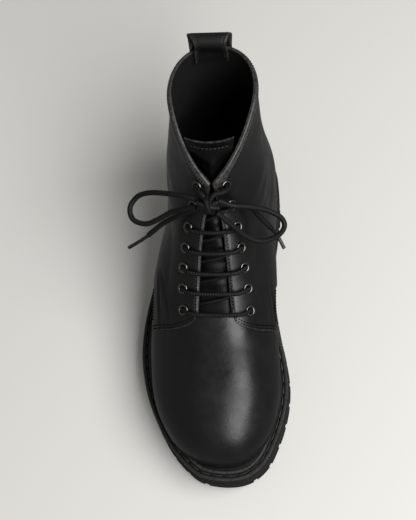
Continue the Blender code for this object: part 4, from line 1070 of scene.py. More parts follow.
@dataclass
class Upper:
    """The leather upper: vamp, raised quarters with turned edges, lining and every seam."""

    pattern: Pattern = Pattern()
    wall: float = 1.8 * MM
    collar_columns: int = 64
    facing_columns: int = 58
    vamp_columns: int = 52
    low_rows: int = 26
    high_rows: int = 72
    band_rows: int = 18
    band_depth: float = 9 * MM
    wing_share: float = 0.63
    seam_depth: float = 0.35 * MM
    seam_half: float = 0.8 * MM
    top_seams: tuple[float, float] = (1.3 * MM, 4.0 * MM)
    front_seams: tuple[float, float] = (1.9 * MM, 4.3 * MM)
    edge_drop: float = 0.5 * MM
    edge_most: float = 0.6 * MM
    edge_half: float = 0.7 * MM
    band_end: tuple[float, float] = (4.5 * MM, 5.0 * MM)
    band_rise: float = 0.45 * MM
    band_left: float = 0.25
    groove: float = 5.4 * MM
    groove_half: float = 0.6 * MM
    groove_depth: float = 0.5 * MM
    hide_depth: float = 0.22 * MM
    hide_start: float = 12 * MM
    wear_reach: float = 1.3 * MM
    wear_edge: float = 0.55
    wear_band: float = 0.8
    wear_rim: float = 0.75
    rim_rows: int = 4
    rim_bulge: float = 0.8 * MM
    hole: float = 3.3 * MM
    hole_core: float = 0.72
    hole_deep: float = 7 * MM
    collar_threads: tuple[float, float] = (1.4 * MM, 3.4 * MM)
    facing_holes: float = 3.2 * MM
    thread: Stitch = Stitch(2.4 * MM, 1.7 * MM, 0.36 * MM)
    hole_shade_thread: Stitch = Stitch(2.3 * MM, 1.15 * MM, 0.42 * MM)

    def __post_init__(self) -> None:
        self.last = self.pattern.last
        self.quarter = self.collar_columns + self.facing_columns - 1
        self.wing = self.collar_columns - 1 + round(self.wing_share * (self.facing_columns - 1))
        self.seams: list[tuple[Array, Array]] = []
        self.pinholes: list[tuple[Array, Array]] = []

    def row_shares(self, length: float) -> Array:
        """Rows of the grid, close together at the quarter's lower edge."""
        edge = self.pattern.edge_row
        low = np.linspace(0, edge, self.low_rows)
        band = 1 - self.band_depth / length
        high = np.linspace(edge + self.pattern.ramp / length, band, self.high_rows - self.band_rows)
        return np.concatenate([low, high, np.linspace(band, 1, self.band_rows + 1)[1:]])

    @staticmethod
    def coons(left: Array, right: Array, bottom: Array, top: Array) -> Array:
        """Grid filled in between four border lines that share their corners."""
        u = np.linspace(0, 1, len(bottom))[:, None, None]
        v = np.linspace(0, 1, len(left))[None, :, None]
        across = (1 - u) * left[None] + u * right[None]
        up = (1 - v) * bottom[:, None] + v * top[:, None]
        start = (1 - v) * bottom[0] + v * top[0]
        return across + up - ((1 - u) * start + u * ((1 - v) * bottom[-1] + v * top[-1]))

    def side_grid(self, side: int) -> Array:
        """Half of the upper on the last, from the back seam (first column) to the ridge (last)."""
        cut = self.pattern
        feather = cut.feather(side)
        run = lengths_along(feather)
        foot = np.interp(cut.quarter_foot, self.last.along(feather[:, 1]), run) / run[-1]
        ramp = 1 - cut.ramp / (foot * run[-1])
        facing_shares = np.append(np.linspace(0, ramp, self.facing_columns), 1)
        collar = spaced(cut.collar(side), np.linspace(0, 1, self.collar_columns))
        top = np.concatenate([collar, spaced(cut.facing(side), facing_shares)[1:]])
        ankle = foot * cut.ankle_share
        rear = (ankle + (foot - ankle) * facing_shares)[1:]
        bottom = spaced(feather, np.concatenate([np.linspace(0, ankle, self.collar_columns), rear]))
        rise = float(np.linalg.norm(top[-1] - bottom[-1]))
        quarter = spaced(cut.quarter_front(bottom[-1], top[-1]), self.row_shares(rise))
        back = spaced(cut.back(), self.row_shares(self.last.collar - self.last.heel_seat))
        rear_part = self.coons(back, quarter, bottom, top)
        vamp_bottom = spaced(feather, np.linspace(foot, 1, self.vamp_columns + 1))
        vamp_top = spaced(cut.throat_floor(side), np.linspace(0, 1, self.vamp_columns + 1))
        ridge = spaced(cut.ridge(), self.row_shares(rise))
        vamp = self.coons(quarter, ridge, vamp_bottom, vamp_top)
        grid = np.concatenate([rear_part, vamp[1:]])
        inner = grid[1:-1, 1:-1]
        grid[1:-1, 1:-1] = self.last.onto(inner.reshape(-1, 3)).reshape(inner.shape)
        return grid

    def raised(self) -> Array:
        """Share of the quarter's step at each column and row of one side."""
        share = np.zeros((self.quarter + 1 + self.vamp_columns, self.low_rows + self.high_rows))
        share[:self.quarter, self.low_rows:] = 1
        share[:self.wing, :] = 1
        return share

    def band_share(self) -> Array:
        """How much of the collar's turned band each column has: all of it to the V, little below."""
        columns = np.arange(self.quarter + 1 + self.vamp_columns)
        fall = soft_step(columns, self.collar_columns - 1, self.collar_columns + 3)
        return 1 - (1 - self.band_left) * fall

    def edge_distances(self, grid: Array) -> tuple[Array, Array, Array]:
        """Distance of each grid point from the top edge, the quarter's front edge and its lower edge."""
        up = np.linalg.norm(np.diff(grid, axis=1), axis=2)
        from_top = np.concatenate([np.cumsum(up[:, ::-1], axis=1)[:, ::-1], np.zeros((len(grid), 1))], 1)
        along = np.linalg.norm(np.diff(grid[:self.quarter + 1], axis=0), axis=2)
        front = np.full(grid.shape[:2], FAR)
        front[:self.quarter] = np.cumsum(along[::-1], axis=0)[::-1]
        front[:, :self.low_rows] = FAR
        lower = np.full(grid.shape[:2], FAR)
        climb = np.cumsum(up[:, self.low_rows:], axis=1)
        lower[self.wing:self.quarter, self.low_rows + 1:] = climb[self.wing:self.quarter]
        lower[self.wing:self.quarter, self.low_rows] = 0
        return from_top, front, lower

    def hide(self, p: Array) -> Array:
        """Slow unevenness of the hide over the whole upper, between -1 and 1."""
        x, y, z = p[:, 0] / (9 * MM) + 1.3, p[:, 1] / (13 * MM), p[:, 2] / (11 * MM) + 0.7
        return np.sin(x) * np.sin(y) * np.sin(z)

    def relief(self, flat: Array, edges: Sequence[Array]) -> tuple[Array, Array]:
        """How far the leather stands off the last, and how worn it is.

        Args:
            flat: One side's points on the last.
            edges: Their distances from the top, front and lower edge, as grids.

        Returns:
            Lift and wear of each grid point.
        """
        top, front, lower = edges
        shape = top.shape
        on_quarter = self.raised()[:shape[0]]
        lift = on_quarter * self.pattern.step
        for fold in FOLDS:
            lift = lift + fold.height(flat).reshape(shape)
        hide = self.hide(flat).reshape(shape)
        lift = lift + self.hide_depth * hide * soft_step(top, 0, self.hide_start)
        seam = np.zeros(shape)
        for gauge, places in zip(edges, (self.top_seams, self.front_seams, self.front_seams)):
            for place in places:
                seam += np.exp(-(((gauge - place) / self.seam_half) ** 2))
        lift = lift - self.seam_depth * np.clip(seam, 0, 1) * on_quarter
        turned = [self.edge_drop * np.exp(-((gauge / self.edge_half) ** 2)) for gauge in edges]
        lift = lift - np.clip(sum(turned), 0, self.edge_most) * on_quarter
        reach = self.band_share()[:shape[0], None]
        band = (1 - soft_step(top, *self.band_end)) * reach
        groove = np.exp(-(((top - self.groove) / self.groove_half) ** 2))
        lift = lift + (self.band_rise * band - self.groove_depth * groove) * on_quarter * reach
        nearest = np.minimum(np.minimum(top, front), lower)
        wear = self.wear_edge * np.exp(-((nearest / self.wear_reach) ** 2)) * on_quarter
        return lift, np.clip(wear + self.wear_band * band * on_quarter, 0, 1)

    def build_side(self, side: int) -> tuple[Array, Array, Array]:
        """One side's outer and inner points and its wear, with its seam lines kept."""
        grid = self.side_grid(side)
        flat = grid.reshape(-1, 3)
        normal = self.last.outward(flat + [0, 0, 0.2 * MM]).reshape(grid.shape)
        normal[:, 0, 2] = 0
        normal = unit(normal)
        edges = self.edge_distances(grid)
        lift, wear = self.relief(flat, edges)
        outer = grid + normal * lift[:, :, None]
        self.keep_seams(outer, normal, *edges)
        return outer, grid - normal * self.wall, wear

    def keep_seams(self, outer: Array, normal: Array, top: Array, front: Array, lower: Array) -> None:
        """Finds the stitched lines at their distances from the edges and keeps them."""

        def line_at(gauge: Array, place: float, points: Array, ways: Array) -> tuple[list, list]:
            """Point and normal on one line of the grid at that distance from an edge."""
            order = np.argsort(gauge)
            read = [[np.interp(place, gauge[order], of[order, k]) for k in range(3)] for of in (points, ways)]
            return read[0], read[1]

        def up_columns(gauge: Array, place: float, columns: range) -> tuple[Array, Array]:
            """A seam that crosses these columns."""
            high = slice(self.low_rows, None)
            spots = [line_at(gauge[c, high], place, outer[c, high], normal[c, high]) for c in columns]
            return np.array([spot[0] for spot in spots]), np.array([spot[1] for spot in spots])

        def along_rows(gauge: Array, place: float, rows: range) -> tuple[Array, Array]:
            """A seam that crosses these rows."""
            rear = slice(None, self.quarter)
            spots = [line_at(gauge[rear, r], place, outer[rear, r], normal[rear, r]) for r in rows]
            return np.array([spot[0] for spot in spots]), np.array([spot[1] for spot in spots])

        first, last = self.collar_columns, self.quarter
        for place in self.collar_threads:
            self.seams.append(up_columns(top, place, range(2, first - 1)))
        self.pinholes.append(up_columns(top, self.facing_holes, range(first + 2, last - 3)))
        for place in self.front_seams:
            self.pinholes.append(up_columns(lower, place, range(self.wing + 2, last - 4)))
            self.pinholes.append(along_rows(front, place, range(self.low_rows + 4, outer.shape[1] - 5)))

    def build(self, finishes: Finishes) -> None:
        """Builds the leather, its lining and the stitching."""
        halves = [self.build_side(side.value) for side in Side]
        outer, inner, wear = [np.concatenate([a[::-1], b[1:-1]]) for a, b in zip(halves[0], halves[1])]
        columns, rows = outer.shape[:2]
        tangent = unit(outer[:, -1] - outer[:, -3])
        half = (outer[:, -1] - inner[:, -1]) / 2
        middle = (outer[:, -1] + inner[:, -1]) / 2
        rim = []
        for k in range(1, self.rim_rows + 1):
            angle = math.pi * k / (self.rim_rows + 1)
            rim.append(middle + half * math.cos(angle) + tangent * self.rim_bulge * math.sin(angle))
        skin = np.concatenate([outer, np.stack(rim, 1), inner[:, ::-1]], 1)
        rim_wear = np.full((columns, self.rim_rows), self.wear_rim)
        wear = np.concatenate([wear, rim_wear, np.zeros((columns, rows))], 1)
        total = skin.shape[1]
        points, faces = self.punch(skin.reshape(-1, 3), section_faces(columns, total, closed=True))
        upper = mesh_object("upper_leather", points, faces)
        add_float(upper.data, "wear", wear.reshape(-1))
        dress(upper, "black_leather", finishes.leather, finishes.lining)
        lined = rows + self.rim_rows - 1
        for face in upper.data.polygons:
            spots = [v % total for v in face.vertices]
            face.material_index = 1 if min(spots) >= lined or (0 in spots and max(spots) >= total - 1) else 0
        work = bmesh.new()
        work.from_mesh(upper.data)
        bmesh.ops.delete(work, geom=[v for v in work.verts if not v.link_faces], context="VERTS")
        work.to_mesh(upper.data)
        work.free()
        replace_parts(upper, "upper")
        shown = joined([stitches(line, ways, self.thread) for line, ways in self.seams])
        dress(mesh_object("collar_stitching", *shown), "black_leather", finishes.thread)
        # The pinhole stitches take the near-black thread, painted shade of their holes
        sunk = joined([stitches(line, ways, self.hole_shade_thread) for line, ways in self.pinholes])
        dress(mesh_object("sunk_stitching", *sunk), "black_leather", finishes.hole_shade_thread)
        LOG.info("upper: %d faces, %d seams", len(upper.data.polygons), len(self.seams))

    def punch(self, points: Array, faces: list[tuple[int, ...]]) -> tuple[Array, list[tuple[int, ...]]]:
        """Opens the eyelet holes: faces inside go, and the points round each hole move onto its circle."""
        points = points.copy()
        gone = np.zeros(len(points), bool)
        for side in Side:
            for centre, way in zip(*self.pattern.eyelet_places(side.value)):
                off = points - centre
                deep = off @ way
                flat = off - deep[:, None] * way
                far = np.linalg.norm(flat, axis=1)
                here = (np.abs(deep) < self.hole_deep) & (far < self.hole)
                core = far < self.hole * self.hole_core
                gone |= here & core
                move = here & ~core
                points[move] += flat[move] * ((self.hole / far[move])[:, None] - 1)
        return points, [face for face in faces if not gone[list(face)].any()]


@dataclass
class Eyelets:
    """Fourteen blackened brass eyelets: a domed flange rolled into a barrel."""

    pattern: Pattern = Pattern()
    flange: float = 4.3 * MM
    barrel: float = 2.6 * MM
    hole: float = 2.2 * MM
    under: float = 0.25 * MM
    crown: float = 1.15 * MM
    depth: float = 3.3 * MM
    dome_steps: int = 8
    dome_power: float = 0.8
    sides: int = 40

    def profile(self) -> list[tuple[float, float]]:
        """Pairs of radius and height round the eyelet's section."""
        section = [(self.hole, -self.depth), (self.barrel, -self.depth), (self.barrel, self.under)]
        middle, half = (self.flange + self.hole) / 2, (self.flange - self.hole) / 2
        for k in range(self.dome_steps + 1):
            angle = math.pi * k / self.dome_steps
            height = self.under + self.crown * math.sin(angle) ** self.dome_power
            section.append((middle + half * math.cos(angle), height))
        return section

    def build(self, finishes: Finishes) -> None:
        """Builds every eyelet as its own piece in place of its solid."""
        section = np.array(self.profile())
        for side in Side:
            name = side.name.lower()
            for k, (centre, way) in enumerate(zip(*self.pattern.eyelet_places(side.value)), 1):
                across = unit(np.cross([0, 0, 1], way))
                up = np.cross(way, across)
                angle = 2 * math.pi * np.arange(self.sides) / self.sides
                ring = np.cos(angle)[:, None] * across + np.sin(angle)[:, None] * up
                points = centre + ring[:, None] * section[None, :, :1] + way * section[None, :, 1:]
                faces = section_faces(self.sides, len(section), closed=True)
                made = mesh_object(f"eyelet_ring_{name}_{k}", points.reshape(-1, 3), faces, 50)
                dress(made, "eyelet_metal", finishes.metal)
                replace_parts(made, f"eyelet_{name}_{k}")
        LOG.info("eyelets: %d", 2 * self.pattern.eyelets)


# The bow's routes, in millimetres
KNOT_CENTRE = (-6, -86.8, 143.8)
BOW = {
    "lace_loop_lateral": (
        (-14.5, -83.5, 146.5), (-23, -80.5, 145.5), (-37, -75.5, 140.5), (-51, -71, 133), (-61, -70.5, 126),
        (-67, -77, 121), (-64.5, -85.5, 118.5), (-55, -89.5, 119), (-45.5, -88.5, 123.5),
        (-34, -85.8, 131), (-24, -87, 138), (-14.8, -88, 142.6),
    ),
    "lace_loop_medial": (
        (2.2, -85, 146.5), (11, -87, 143.5), (21, -85, 137.5), (31, -83, 130), (39, -83.5, 124.5),
        (45.5, -86, 120), (47.5, -91, 116.5), (43.5, -96.5, 114), (36, -100, 113), (28, -101.5, 114.5),
        (19.5, -99.5, 119.5), (12, -96.5, 127), (6, -93.5, 133.5), (0, -90.6, 139.6),
    ),
    "lace_end_lateral": (
        (-11.5, -85.6, 138.6), (-18, -87, 136), (-25.5, -87, 131), (-34.5, -86.5, 122), (-42.5, -87, 114.5),
        (-50.5, -90.5, 108.5), (-58, -94.5, 104), (-70.5, -99.5, 98),
    ),
    "lace_end_medial": (
        (0.6, -84.6, 139.9), (7.5, -84, 138.6), (14, -83, 135.8), (20.5, -81, 130), (25, -81, 124.5),
        (29.5, -83, 116.5), (38, -88.5, 107), (42.5, -92, 100.5), (47, -99, 95),
    ),
}
LEGS = {
    "lace_leg_lateral": ((-14.3, -77.8, 147), (-9.8, -81.2, 148.2)),
    "lace_leg_medial": ((5.6, -78.2, 147.4), (-1.6, -81.4, 148.6)),
}
# The knot's turns about its centre: across the boot, down the throat and outward, in millimetres
KNOT_TURNS = (
    ((-7.5, 2.2, 0.3), (-4, 1.2, 2.0), (0, 0, 2.6), (4, -1.2, 2.0), (7.2, -2.2, 0.2)),
    ((-7, -2.0, 0.0), (-3.5, -1.2, 1.3), (0.5, 0.3, 1.8), (4, 1.6, 1.4), (7.4, 2.2, 0.4)),
    ((-1.2, 5.0, -1.2), (-1.0, 4.6, 1.8), (-0.4, 2.4, 3.6), (0.3, -0.6, 4.0), (0.9, -3.6, 3.0),
     (1.2, -5.0, 0.2), (0.6, -4.2, -2.2)),
    ((-5.6, -3.0, -1.2), (-2.4, -4.4, -0.4), (1.6, -4.6, -0.6), (5.2, -2.8, -1.4)),
)


class CrossRow(NamedTuple):
    """A crossing's route: share across the bars, share of the rise to the next bar, and depth."""

    share: float
    rise: float
    depth: float


CROSS_ROWS = (
    CrossRow(0.18, 0.40, 3.8 * MM),
    CrossRow(0.34, 0.54, 1.6 * MM),
    CrossRow(0.50, 0.66, 0.9 * MM),
    CrossRow(0.66, 0.78, 1.6 * MM),
    CrossRow(0.82, 0.90, 3.8 * MM),
)


@dataclass
class Lacing:
    """One round cord: bars over the throat, crossings under them, and the bow."""

    pattern: Pattern = Pattern()
    cord: float = 4 * MM
    bar: float = 3.3 * MM
    bar_height: float = 3.5 * MM
    bar_dip: float = 1.6 * MM
    bar_rest: float = 0.65
    bar_sag: float = 3.5 * MM
    cross_share: float = 0.75
    leg_share: float = 0.9
    turn_share: float = 0.95
    tip_share: float = 0.9
    hole_aim: float = 0.3 * MM
    hole_levels: tuple[float, ...] = (-5 * MM, -2 * MM, 0.6 * MM, 2 * MM)
    hole_drift: tuple[float, ...] = (0.0, 0.0, 0.15 * MM, 0.7 * MM)
    leg_levels: tuple[float, ...] = (-5 * MM, -2 * MM, 1 * MM, 3 * MM)
    sides: int = 14
    tip_length: float = 19 * MM
    tip: float = 2.7 * MM

    def rope(
        self, name: str, path: Array, diameter: float | Array, finish: Any, sides: int | None = None
    ) -> bpy.types.Object:
        """A cord of that diameter along a path, with its winding map."""
        sides = sides or self.sides
        points, faces = tube_shape(path, diameter / 2, sides)
        made = mesh_object(name, points, faces, 60)
        add_round_map(made, len(path), sides, lengths_along(path))
        return dress(made, "lace_cord", finish)

    def bar_line(self, row: int) -> Array:
        """Middle line of a bar, from the lateral eyelet to the medial one."""
        ends = [self.pattern.eyelet_places(side.value)[0][row] for side in Side]
        t = np.linspace(-1, 1, 31)[:, None]
        straight = (ends[0] * (1 - t) + ends[1] * (1 + t)) / 2
        straight[:, 1] -= self.bar_sag * (1 - t[:, 0] ** 4)
        on = self.pattern.last.onto(straight)
        dip = self.bar_dip * np.clip(1 - (t / self.bar_rest) ** 2, 0, 1)
        return on + self.pattern.last.outward(on) * (self.pattern.step + self.bar_height - dip)

    def through(self, line: Array, row: int) -> Array:
        """A bar's line with both ends turned down through their eyelets."""
        parts = []
        for k, side in enumerate(Side):
            centres, ways = self.pattern.eyelet_places(side.value)
            centre, way = centres[row], ways[row]
            inward = unit(line[len(line) // 2] - centre)
            inward = unit(inward - way * float(inward @ way))
            spot = centre + inward * self.hole_aim
            routes = zip(self.hole_levels, self.hole_drift)
            down = np.array([spot + way * level + inward * drift for level, drift in routes])
            parts.append(down if k == 0 else down[::-1])
        return smooth_path(np.concatenate([parts[0], line[4:-4:3], parts[1]]), 72)

    def build(self, finishes: Finishes) -> None:
        """Builds the bars, the crossings, the legs, the knot, and the bow's loops and ends."""
        lines = [self.bar_line(row) for row in range(1, self.pattern.eyelets)]
        shapes = [(self.through(line, row), self.bar) for row, line in enumerate(lines, 1)]
        share, rise, depth = (np.array(column) for column in zip(*CROSS_ROWS))
        for low, high in zip(lines[1:], lines[:-1]):
            between = spaced(low, share) * (1 - rise[:, None]) + spaced(high, share) * rise[:, None]
            on = self.pattern.last.onto(between)
            under = on - self.pattern.last.outward(on) * depth[:, None]
            shapes.append((smooth_path(under, 24), self.bar * self.cross_share))
        parts = [self.rope(f"bar_{k}", path, width, finishes.cord) for k, (path, width) in enumerate(shapes)]
        bars = self.merge(parts, "laced_bars")
        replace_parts(bars, "lace_bars")
        for name, route in LEGS.items():
            side = Side.LATERAL if name.endswith("lateral") else Side.MEDIAL
            centres, ways = self.pattern.eyelet_places(side.value)
            hole = [centres[0] + ways[0] * level for level in self.leg_levels]
            rest = np.array([*route, KNOT_CENTRE]) * MM
            path = smooth_path(np.concatenate([hole, rest]), 30)
            leg = self.rope(name + "_cord", path, self.cord * self.leg_share, finishes.cord)
            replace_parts(leg, name)
        knot = self.knot(finishes)
        for name, route in BOW.items():
            self.free_end(name, np.array(route) * MM, knot, finishes)
        LOG.info("lacing: %d bars, knot, two loops and two ends", len(lines))

    def merge(self, parts: Sequence[bpy.types.Object], name: str) -> bpy.types.Object:
        """Joins cords that are one length of lace into one piece."""
        with bpy.context.temp_override(active_object=parts[0], selected_editable_objects=list(parts)):
            bpy.ops.object.join()
        parts[0].name = name
        return parts[0]

    def free_end(self, name: str, route: Array, knot: bpy.types.Object, finishes: Finishes) -> None:
        """One loop or loose end of the bow, built as a cord of its real length; a loose end also gets its
        tip.
        """
        path = smooth_path(route, 90)
        run = lengths_along(path)[-1]
        ends = name.startswith("lace_end")
        width = np.full(len(path), self.cord)
        if ends:
            in_tip = lengths_along(path) > run - self.tip_length
            width = np.where(in_tip, self.tip_share * self.tip, width)
        made = self.rope(name + "_cord", path, width, finishes.cord)
        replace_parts(made, name)
        pieces = [knot] if name == "lace_loop_lateral" else []
        if ends:
            start = np.searchsorted(lengths_along(path), run - self.tip_length)
            pieces = [self.rope(name + "_tip", path[start:], self.tip, finishes.tip, 18)]

    def knot(self, finishes: Finishes) -> bpy.types.Object:
        """The bow's knot: four short turns round the crossing of loops and legs."""
        centre = np.array(KNOT_CENTRE) * MM
        normal = self.pattern.last.outward(self.pattern.last.onto(centre[None]))[0]
        normal[0] = 0
        normal = unit(normal)
        across = np.array([1.0, 0, 0])
        axes = np.stack([across, np.cross(normal, across), normal])
        parts = []
        for k, turn in enumerate(KNOT_TURNS):
            path = smooth_path(centre + np.array(turn) * MM @ axes, 26)
            parts.append(self.rope(f"turn_{k}", path, self.cord * self.turn_share, finishes.cord))
        knot = self.merge(parts, "bow_knot")
        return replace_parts(knot, "lace_knot")


class DentRow(NamedTuple):
    """A soft dent or swell of the tongue: its place across and along, half sizes and height."""

    across: float
    along: float
    half_across: float
    half_along: float
    height: float


DENT_ROWS = (
    DentRow(-0.25, 0.870, 0.12, 0.020, -0.9 * MM),
    DentRow(0.12, 0.885, 0.22, 0.025, 0.8 * MM),
)


class WaveRow(NamedTuple):
    """A wave of the tongue's wrinkles: its turns along and across, and where it starts."""

    along: float
    across: float
    start: float


WAVE_ROWS = (
    WaveRow(61, 3.1, 0),
    WaveRow(37, -5, 1),
)


@dataclass
class Tongue:
    """The tongue under the facings: soft leather with a stitched top edge and small wrinkles."""

    pattern: Pattern = Pattern()
    width: float = 62 * MM
    thickness: float = 2 * MM
    top: float = 174 * MM
    under_vamp: float = 0.06
    hub: float = 34 * MM
    bow: float = 4 * MM
    unfolds: float = 0.80
    wrinkle: float = 0.55 * MM
    wrinkles_from: tuple[float, float] = (0.12, 0.3)
    wrinkles_to: tuple[float, float] = (0.80, 0.92)
    seam: float = 0.965
    seam_half: float = 0.008
    seam_depth: float = 0.35 * MM
    edge_from: float = 0.93
    edge_left: float = 0.4
    edge_wear: float = 0.9
    stitch: Stitch = Stitch(2.9 * MM, 2.2 * MM, 0.34 * MM)
    rows: int = 150
    columns: int = 61
    smoothing: int = 9

    def line(self, low_count: int = 60, high_count: int = 24) -> Array:
        """Middle line on the last: under the vamp, up the throat, then above the V."""
        last, cut = self.pattern.last, self.pattern
        along = np.linspace(cut.throat_bottom + self.under_vamp, cut.throat_top, low_count)
        floor = np.full(low_count, cut.hub_rise * last.heel_seat)
        low = last.cast(np.stack([last.middle(along), last.y_at(along), floor], 1), np.array([0, 0, 1]))
        z = np.linspace(low[-1, 2], self.top, high_count)[1:]
        start = np.stack([np.full(len(z), low[-1, 0]), np.full(len(z), last.y_at(cut.shaft_hub)), z], 1)
        return np.concatenate([low, last.cast(start, np.array([0, -1, 0]))])

    def normals(self, line: Array) -> Array:
        """Normals of the middle line, straight outward and smoothed over a few rows."""
        normal = self.pattern.last.outward(line)
        normal[:, 0] = 0
        normal = unit(normal)
        side = self.smoothing // 2
        padded = np.pad(normal, ((side, side), (0, 0)), mode="edge")
        kernel = np.ones(self.smoothing) / self.smoothing
        return unit(np.stack([np.convolve(padded[:, k], kernel, "valid") for k in range(3)], 1))

    def plain_face(self, share: Array) -> tuple[Array, Array]:
        """The outer face without its wrinkles, and the way that each point faces."""
        line = spaced(self.line(), share)
        normal = self.normals(line)
        half = column_value(TONGUE_ROWS, "width", share) * self.width / 2
        depth = (column_value(TONGUE_ROWS, "depth", share) * self.thickness)[:, None]
        flat = soft_step(share, self.unfolds, 1)[:, None]
        outer = np.zeros((self.columns, self.rows, 3))
        facing = np.zeros_like(outer)
        x = np.array([1.0, 0, 0])
        for i, across in enumerate(np.linspace(-1, 1, self.columns)):
            angle = (across * half / self.hub)[:, None]
            way = normal * np.cos(angle) + x * np.sin(angle)
            hit = self.pattern.last.cast(line - normal * self.hub, way)
            spread = line - normal * depth + x * (across * half)[:, None]
            spread = spread - normal * self.bow * across * across
            outer[i] = (hit - way * depth) * (1 - flat) + spread * flat
            facing[i] = unit(way * (1 - flat) + normal * flat)
        return outer, facing

    def relief(self, share: Array) -> Array:
        """Height of the wrinkles, the dents and the seam's groove over the plain face."""
        across = np.linspace(-1, 1, self.columns)[:, None]
        first, second = (np.sin(share * w.along + w.across * across + w.start) for w in WAVE_ROWS)
        height = first * second * self.wrinkle
        height = height * soft_step(share, *self.wrinkles_from) * (1 - soft_step(share, *self.wrinkles_to))
        for dent in DENT_ROWS:
            off = ((across - dent.across) / dent.half_across) ** 2
            height = height + dent.height * np.exp(-off - ((share - dent.along) / dent.half_along) ** 2)
        return height - self.seam_depth * np.exp(-(((share - self.seam) / self.seam_half) ** 2))

    def build(self, finishes: Finishes) -> None:
        """Builds the tongue and its row of stitches."""
        share = np.linspace(0, 1, self.rows)
        outer, facing = self.plain_face(share)
        outer = outer + facing * self.relief(share)[:, :, None]
        thin = (1 - (1 - self.edge_left) * soft_step(share, self.edge_from, 1.0))[None, :, None]
        inner = outer - facing * self.thickness * thin
        section = np.concatenate([outer, inner[:, ::-1]], 1)
        faces = section_faces(self.columns, 2 * self.rows)
        made = mesh_object("tongue_leather", section.reshape(-1, 3), faces)
        wear = np.zeros((self.columns, 2 * self.rows))
        wear[:, self.rows - 1:self.rows + 1] = self.edge_wear
        add_float(made.data, "wear", wear.reshape(-1))
        dress(made, "tongue_leather", finishes.tongue)
        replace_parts(made, "tongue")
        seam = int(self.seam * self.rows)
        row = stitches(outer[3:-3, seam], facing[3:-3, seam], self.stitch)
        dress(mesh_object("tongue_stitching", *row), "tongue_leather", finishes.thread)
        LOG.info("tongue: %d faces", len(faces))


@dataclass
class PullLoop:
    """The strap folded over the collar's back, with stitched edges."""

    pattern: Pattern = Pattern()
    width: float = 28 * MM
    side: float = -2.5 * MM
    rise: float = 14 * MM
    gap: float = 9 * MM
    leg: float = 34 * MM
    tuck: float = 9 * MM
    thickness: float = 1.8 * MM
    play: float = 0.6 * MM
    clearance: float = 0.3 * MM
    overturn: float = 0.25
    flat_above: float = 5 * MM
    flat_share: float = 0.6
    edge_half: float = 0.9 * MM
    edge_thin: float = 0.28
    groove_half: float = 0.7 * MM
    groove_thin: float = 0.16
    seam: float = 2.6 * MM
    wear_half: float = 1.2 * MM
    wear: float = 0.8
    stitch: Stitch = Stitch(2.9 * MM, 2.2 * MM, 0.32 * MM)
    columns: int = 41
    rows: int = 90

    def section(self) -> tuple[Array, Array]:
        """The strap's two faces from the side, as pairs of distance off the last and height."""
        last = self.pattern.last
        outside = self.pattern.step + self.clearance + self.play
        inside = -Upper.wall - self.clearance - self.play
        bulge = self.gap / 2 + self.thickness / 2
        core = (outside + inside) / 2
        top = last.collar + self.rise
        leg = np.linspace(last.collar - self.leg, last.collar, 14)
        path = [(outside + self.thickness / 2, z) for z in leg]
        for angle in np.linspace(-self.overturn, math.pi + self.overturn, 34):
            path.append((core + bulge * math.cos(angle), top - bulge + bulge * math.sin(angle)))
        tuck = np.linspace(last.collar, last.collar - self.tuck, 8)
        path += [(inside - self.thickness / 2, z) for z in tuck]
        path = spaced(np.array(path), np.linspace(0, 1, self.rows))
        tangent = unit(np.gradient(path, axis=0))
        turn = np.stack([tangent[:, 1], -tangent[:, 0]], 1) * self.thickness / 2
        return path + turn, path - turn

    def face(self, edge: Array, across: Array) -> Array:
        """One face of the strap: round the shaft below the collar, level above it."""
        last = self.pattern.last
        centre = last.side + SHAFT_ROWS[-1].middle * last.ball_width + self.side
        z = np.minimum(edge[:, 1], last.collar)
        y = np.full(len(z), last.y_at(self.pattern.shaft_hub))
        face = np.zeros((self.columns, len(edge), 3))
        for i, x in enumerate(across):
            on = last.cast(np.stack([np.full(len(z), centre + x), y, z], 1), np.array([0, 1, 0]))
            normal = last.outward(on)
            normal[:, 2] = 0
            face[i] = on + unit(normal) * edge[:, :1]
            face[i, :, 2] = edge[:, 1]
        level = np.linspace(face[0], face[-1], self.columns)
        ends = (face[0, :, 1] + face[-1, :, 1]) / 2
        level[:, :, 1] = ends + self.flat_share * (face[self.columns // 2, :, 1] - ends)
        stretched = soft_step(edge[:, 1], last.collar, last.collar + self.flat_above)[None, :, None]
        return face * (1 - stretched) + level * stretched

    def build(self, finishes: Finishes) -> None:
        """Builds the strap and its two rows of stitches."""
        across = np.linspace(-0.5, 0.5, self.columns) * self.width
        outer, inner = (self.face(edge, across) for edge in self.section())
        rim = np.minimum(across + self.width / 2, self.width / 2 - across)
        thin = self.edge_thin * np.exp(-((rim / self.edge_half) ** 2))
        thin = thin + self.groove_thin * np.exp(-(((rim - self.seam) / self.groove_half) ** 2))
        thin = thin[:, None, None]
        skin, lining = outer * (1 - thin) + inner * thin, inner * (1 - thin) + outer * thin
        points = np.concatenate([skin, lining[:, ::-1]], 1)
        faces = section_faces(self.columns, points.shape[1])
        made = mesh_object("pull_loop_strap", points.reshape(-1, 3), faces)
        wear = self.wear * np.exp(-((rim / self.wear_half) ** 2))
        add_float(made.data, "wear", np.repeat(wear, points.shape[1]))
        dress(made, "loop_leather", finishes.strap)
        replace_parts(made, "pull_loop")
        rows = []
        for x in (self.seam, self.width - self.seam):
            i = round(x / self.width * (self.columns - 1))
            normal = unit(skin[i] - lining[i])
            rows.append(stitches(skin[i, 2:-2], normal[2:-2], self.stitch))
        dress(mesh_object("pull_loop_stitching", *joined(rows)), "loop_leather", finishes.thread)
        LOG.info("pull loop: %d columns", self.columns)


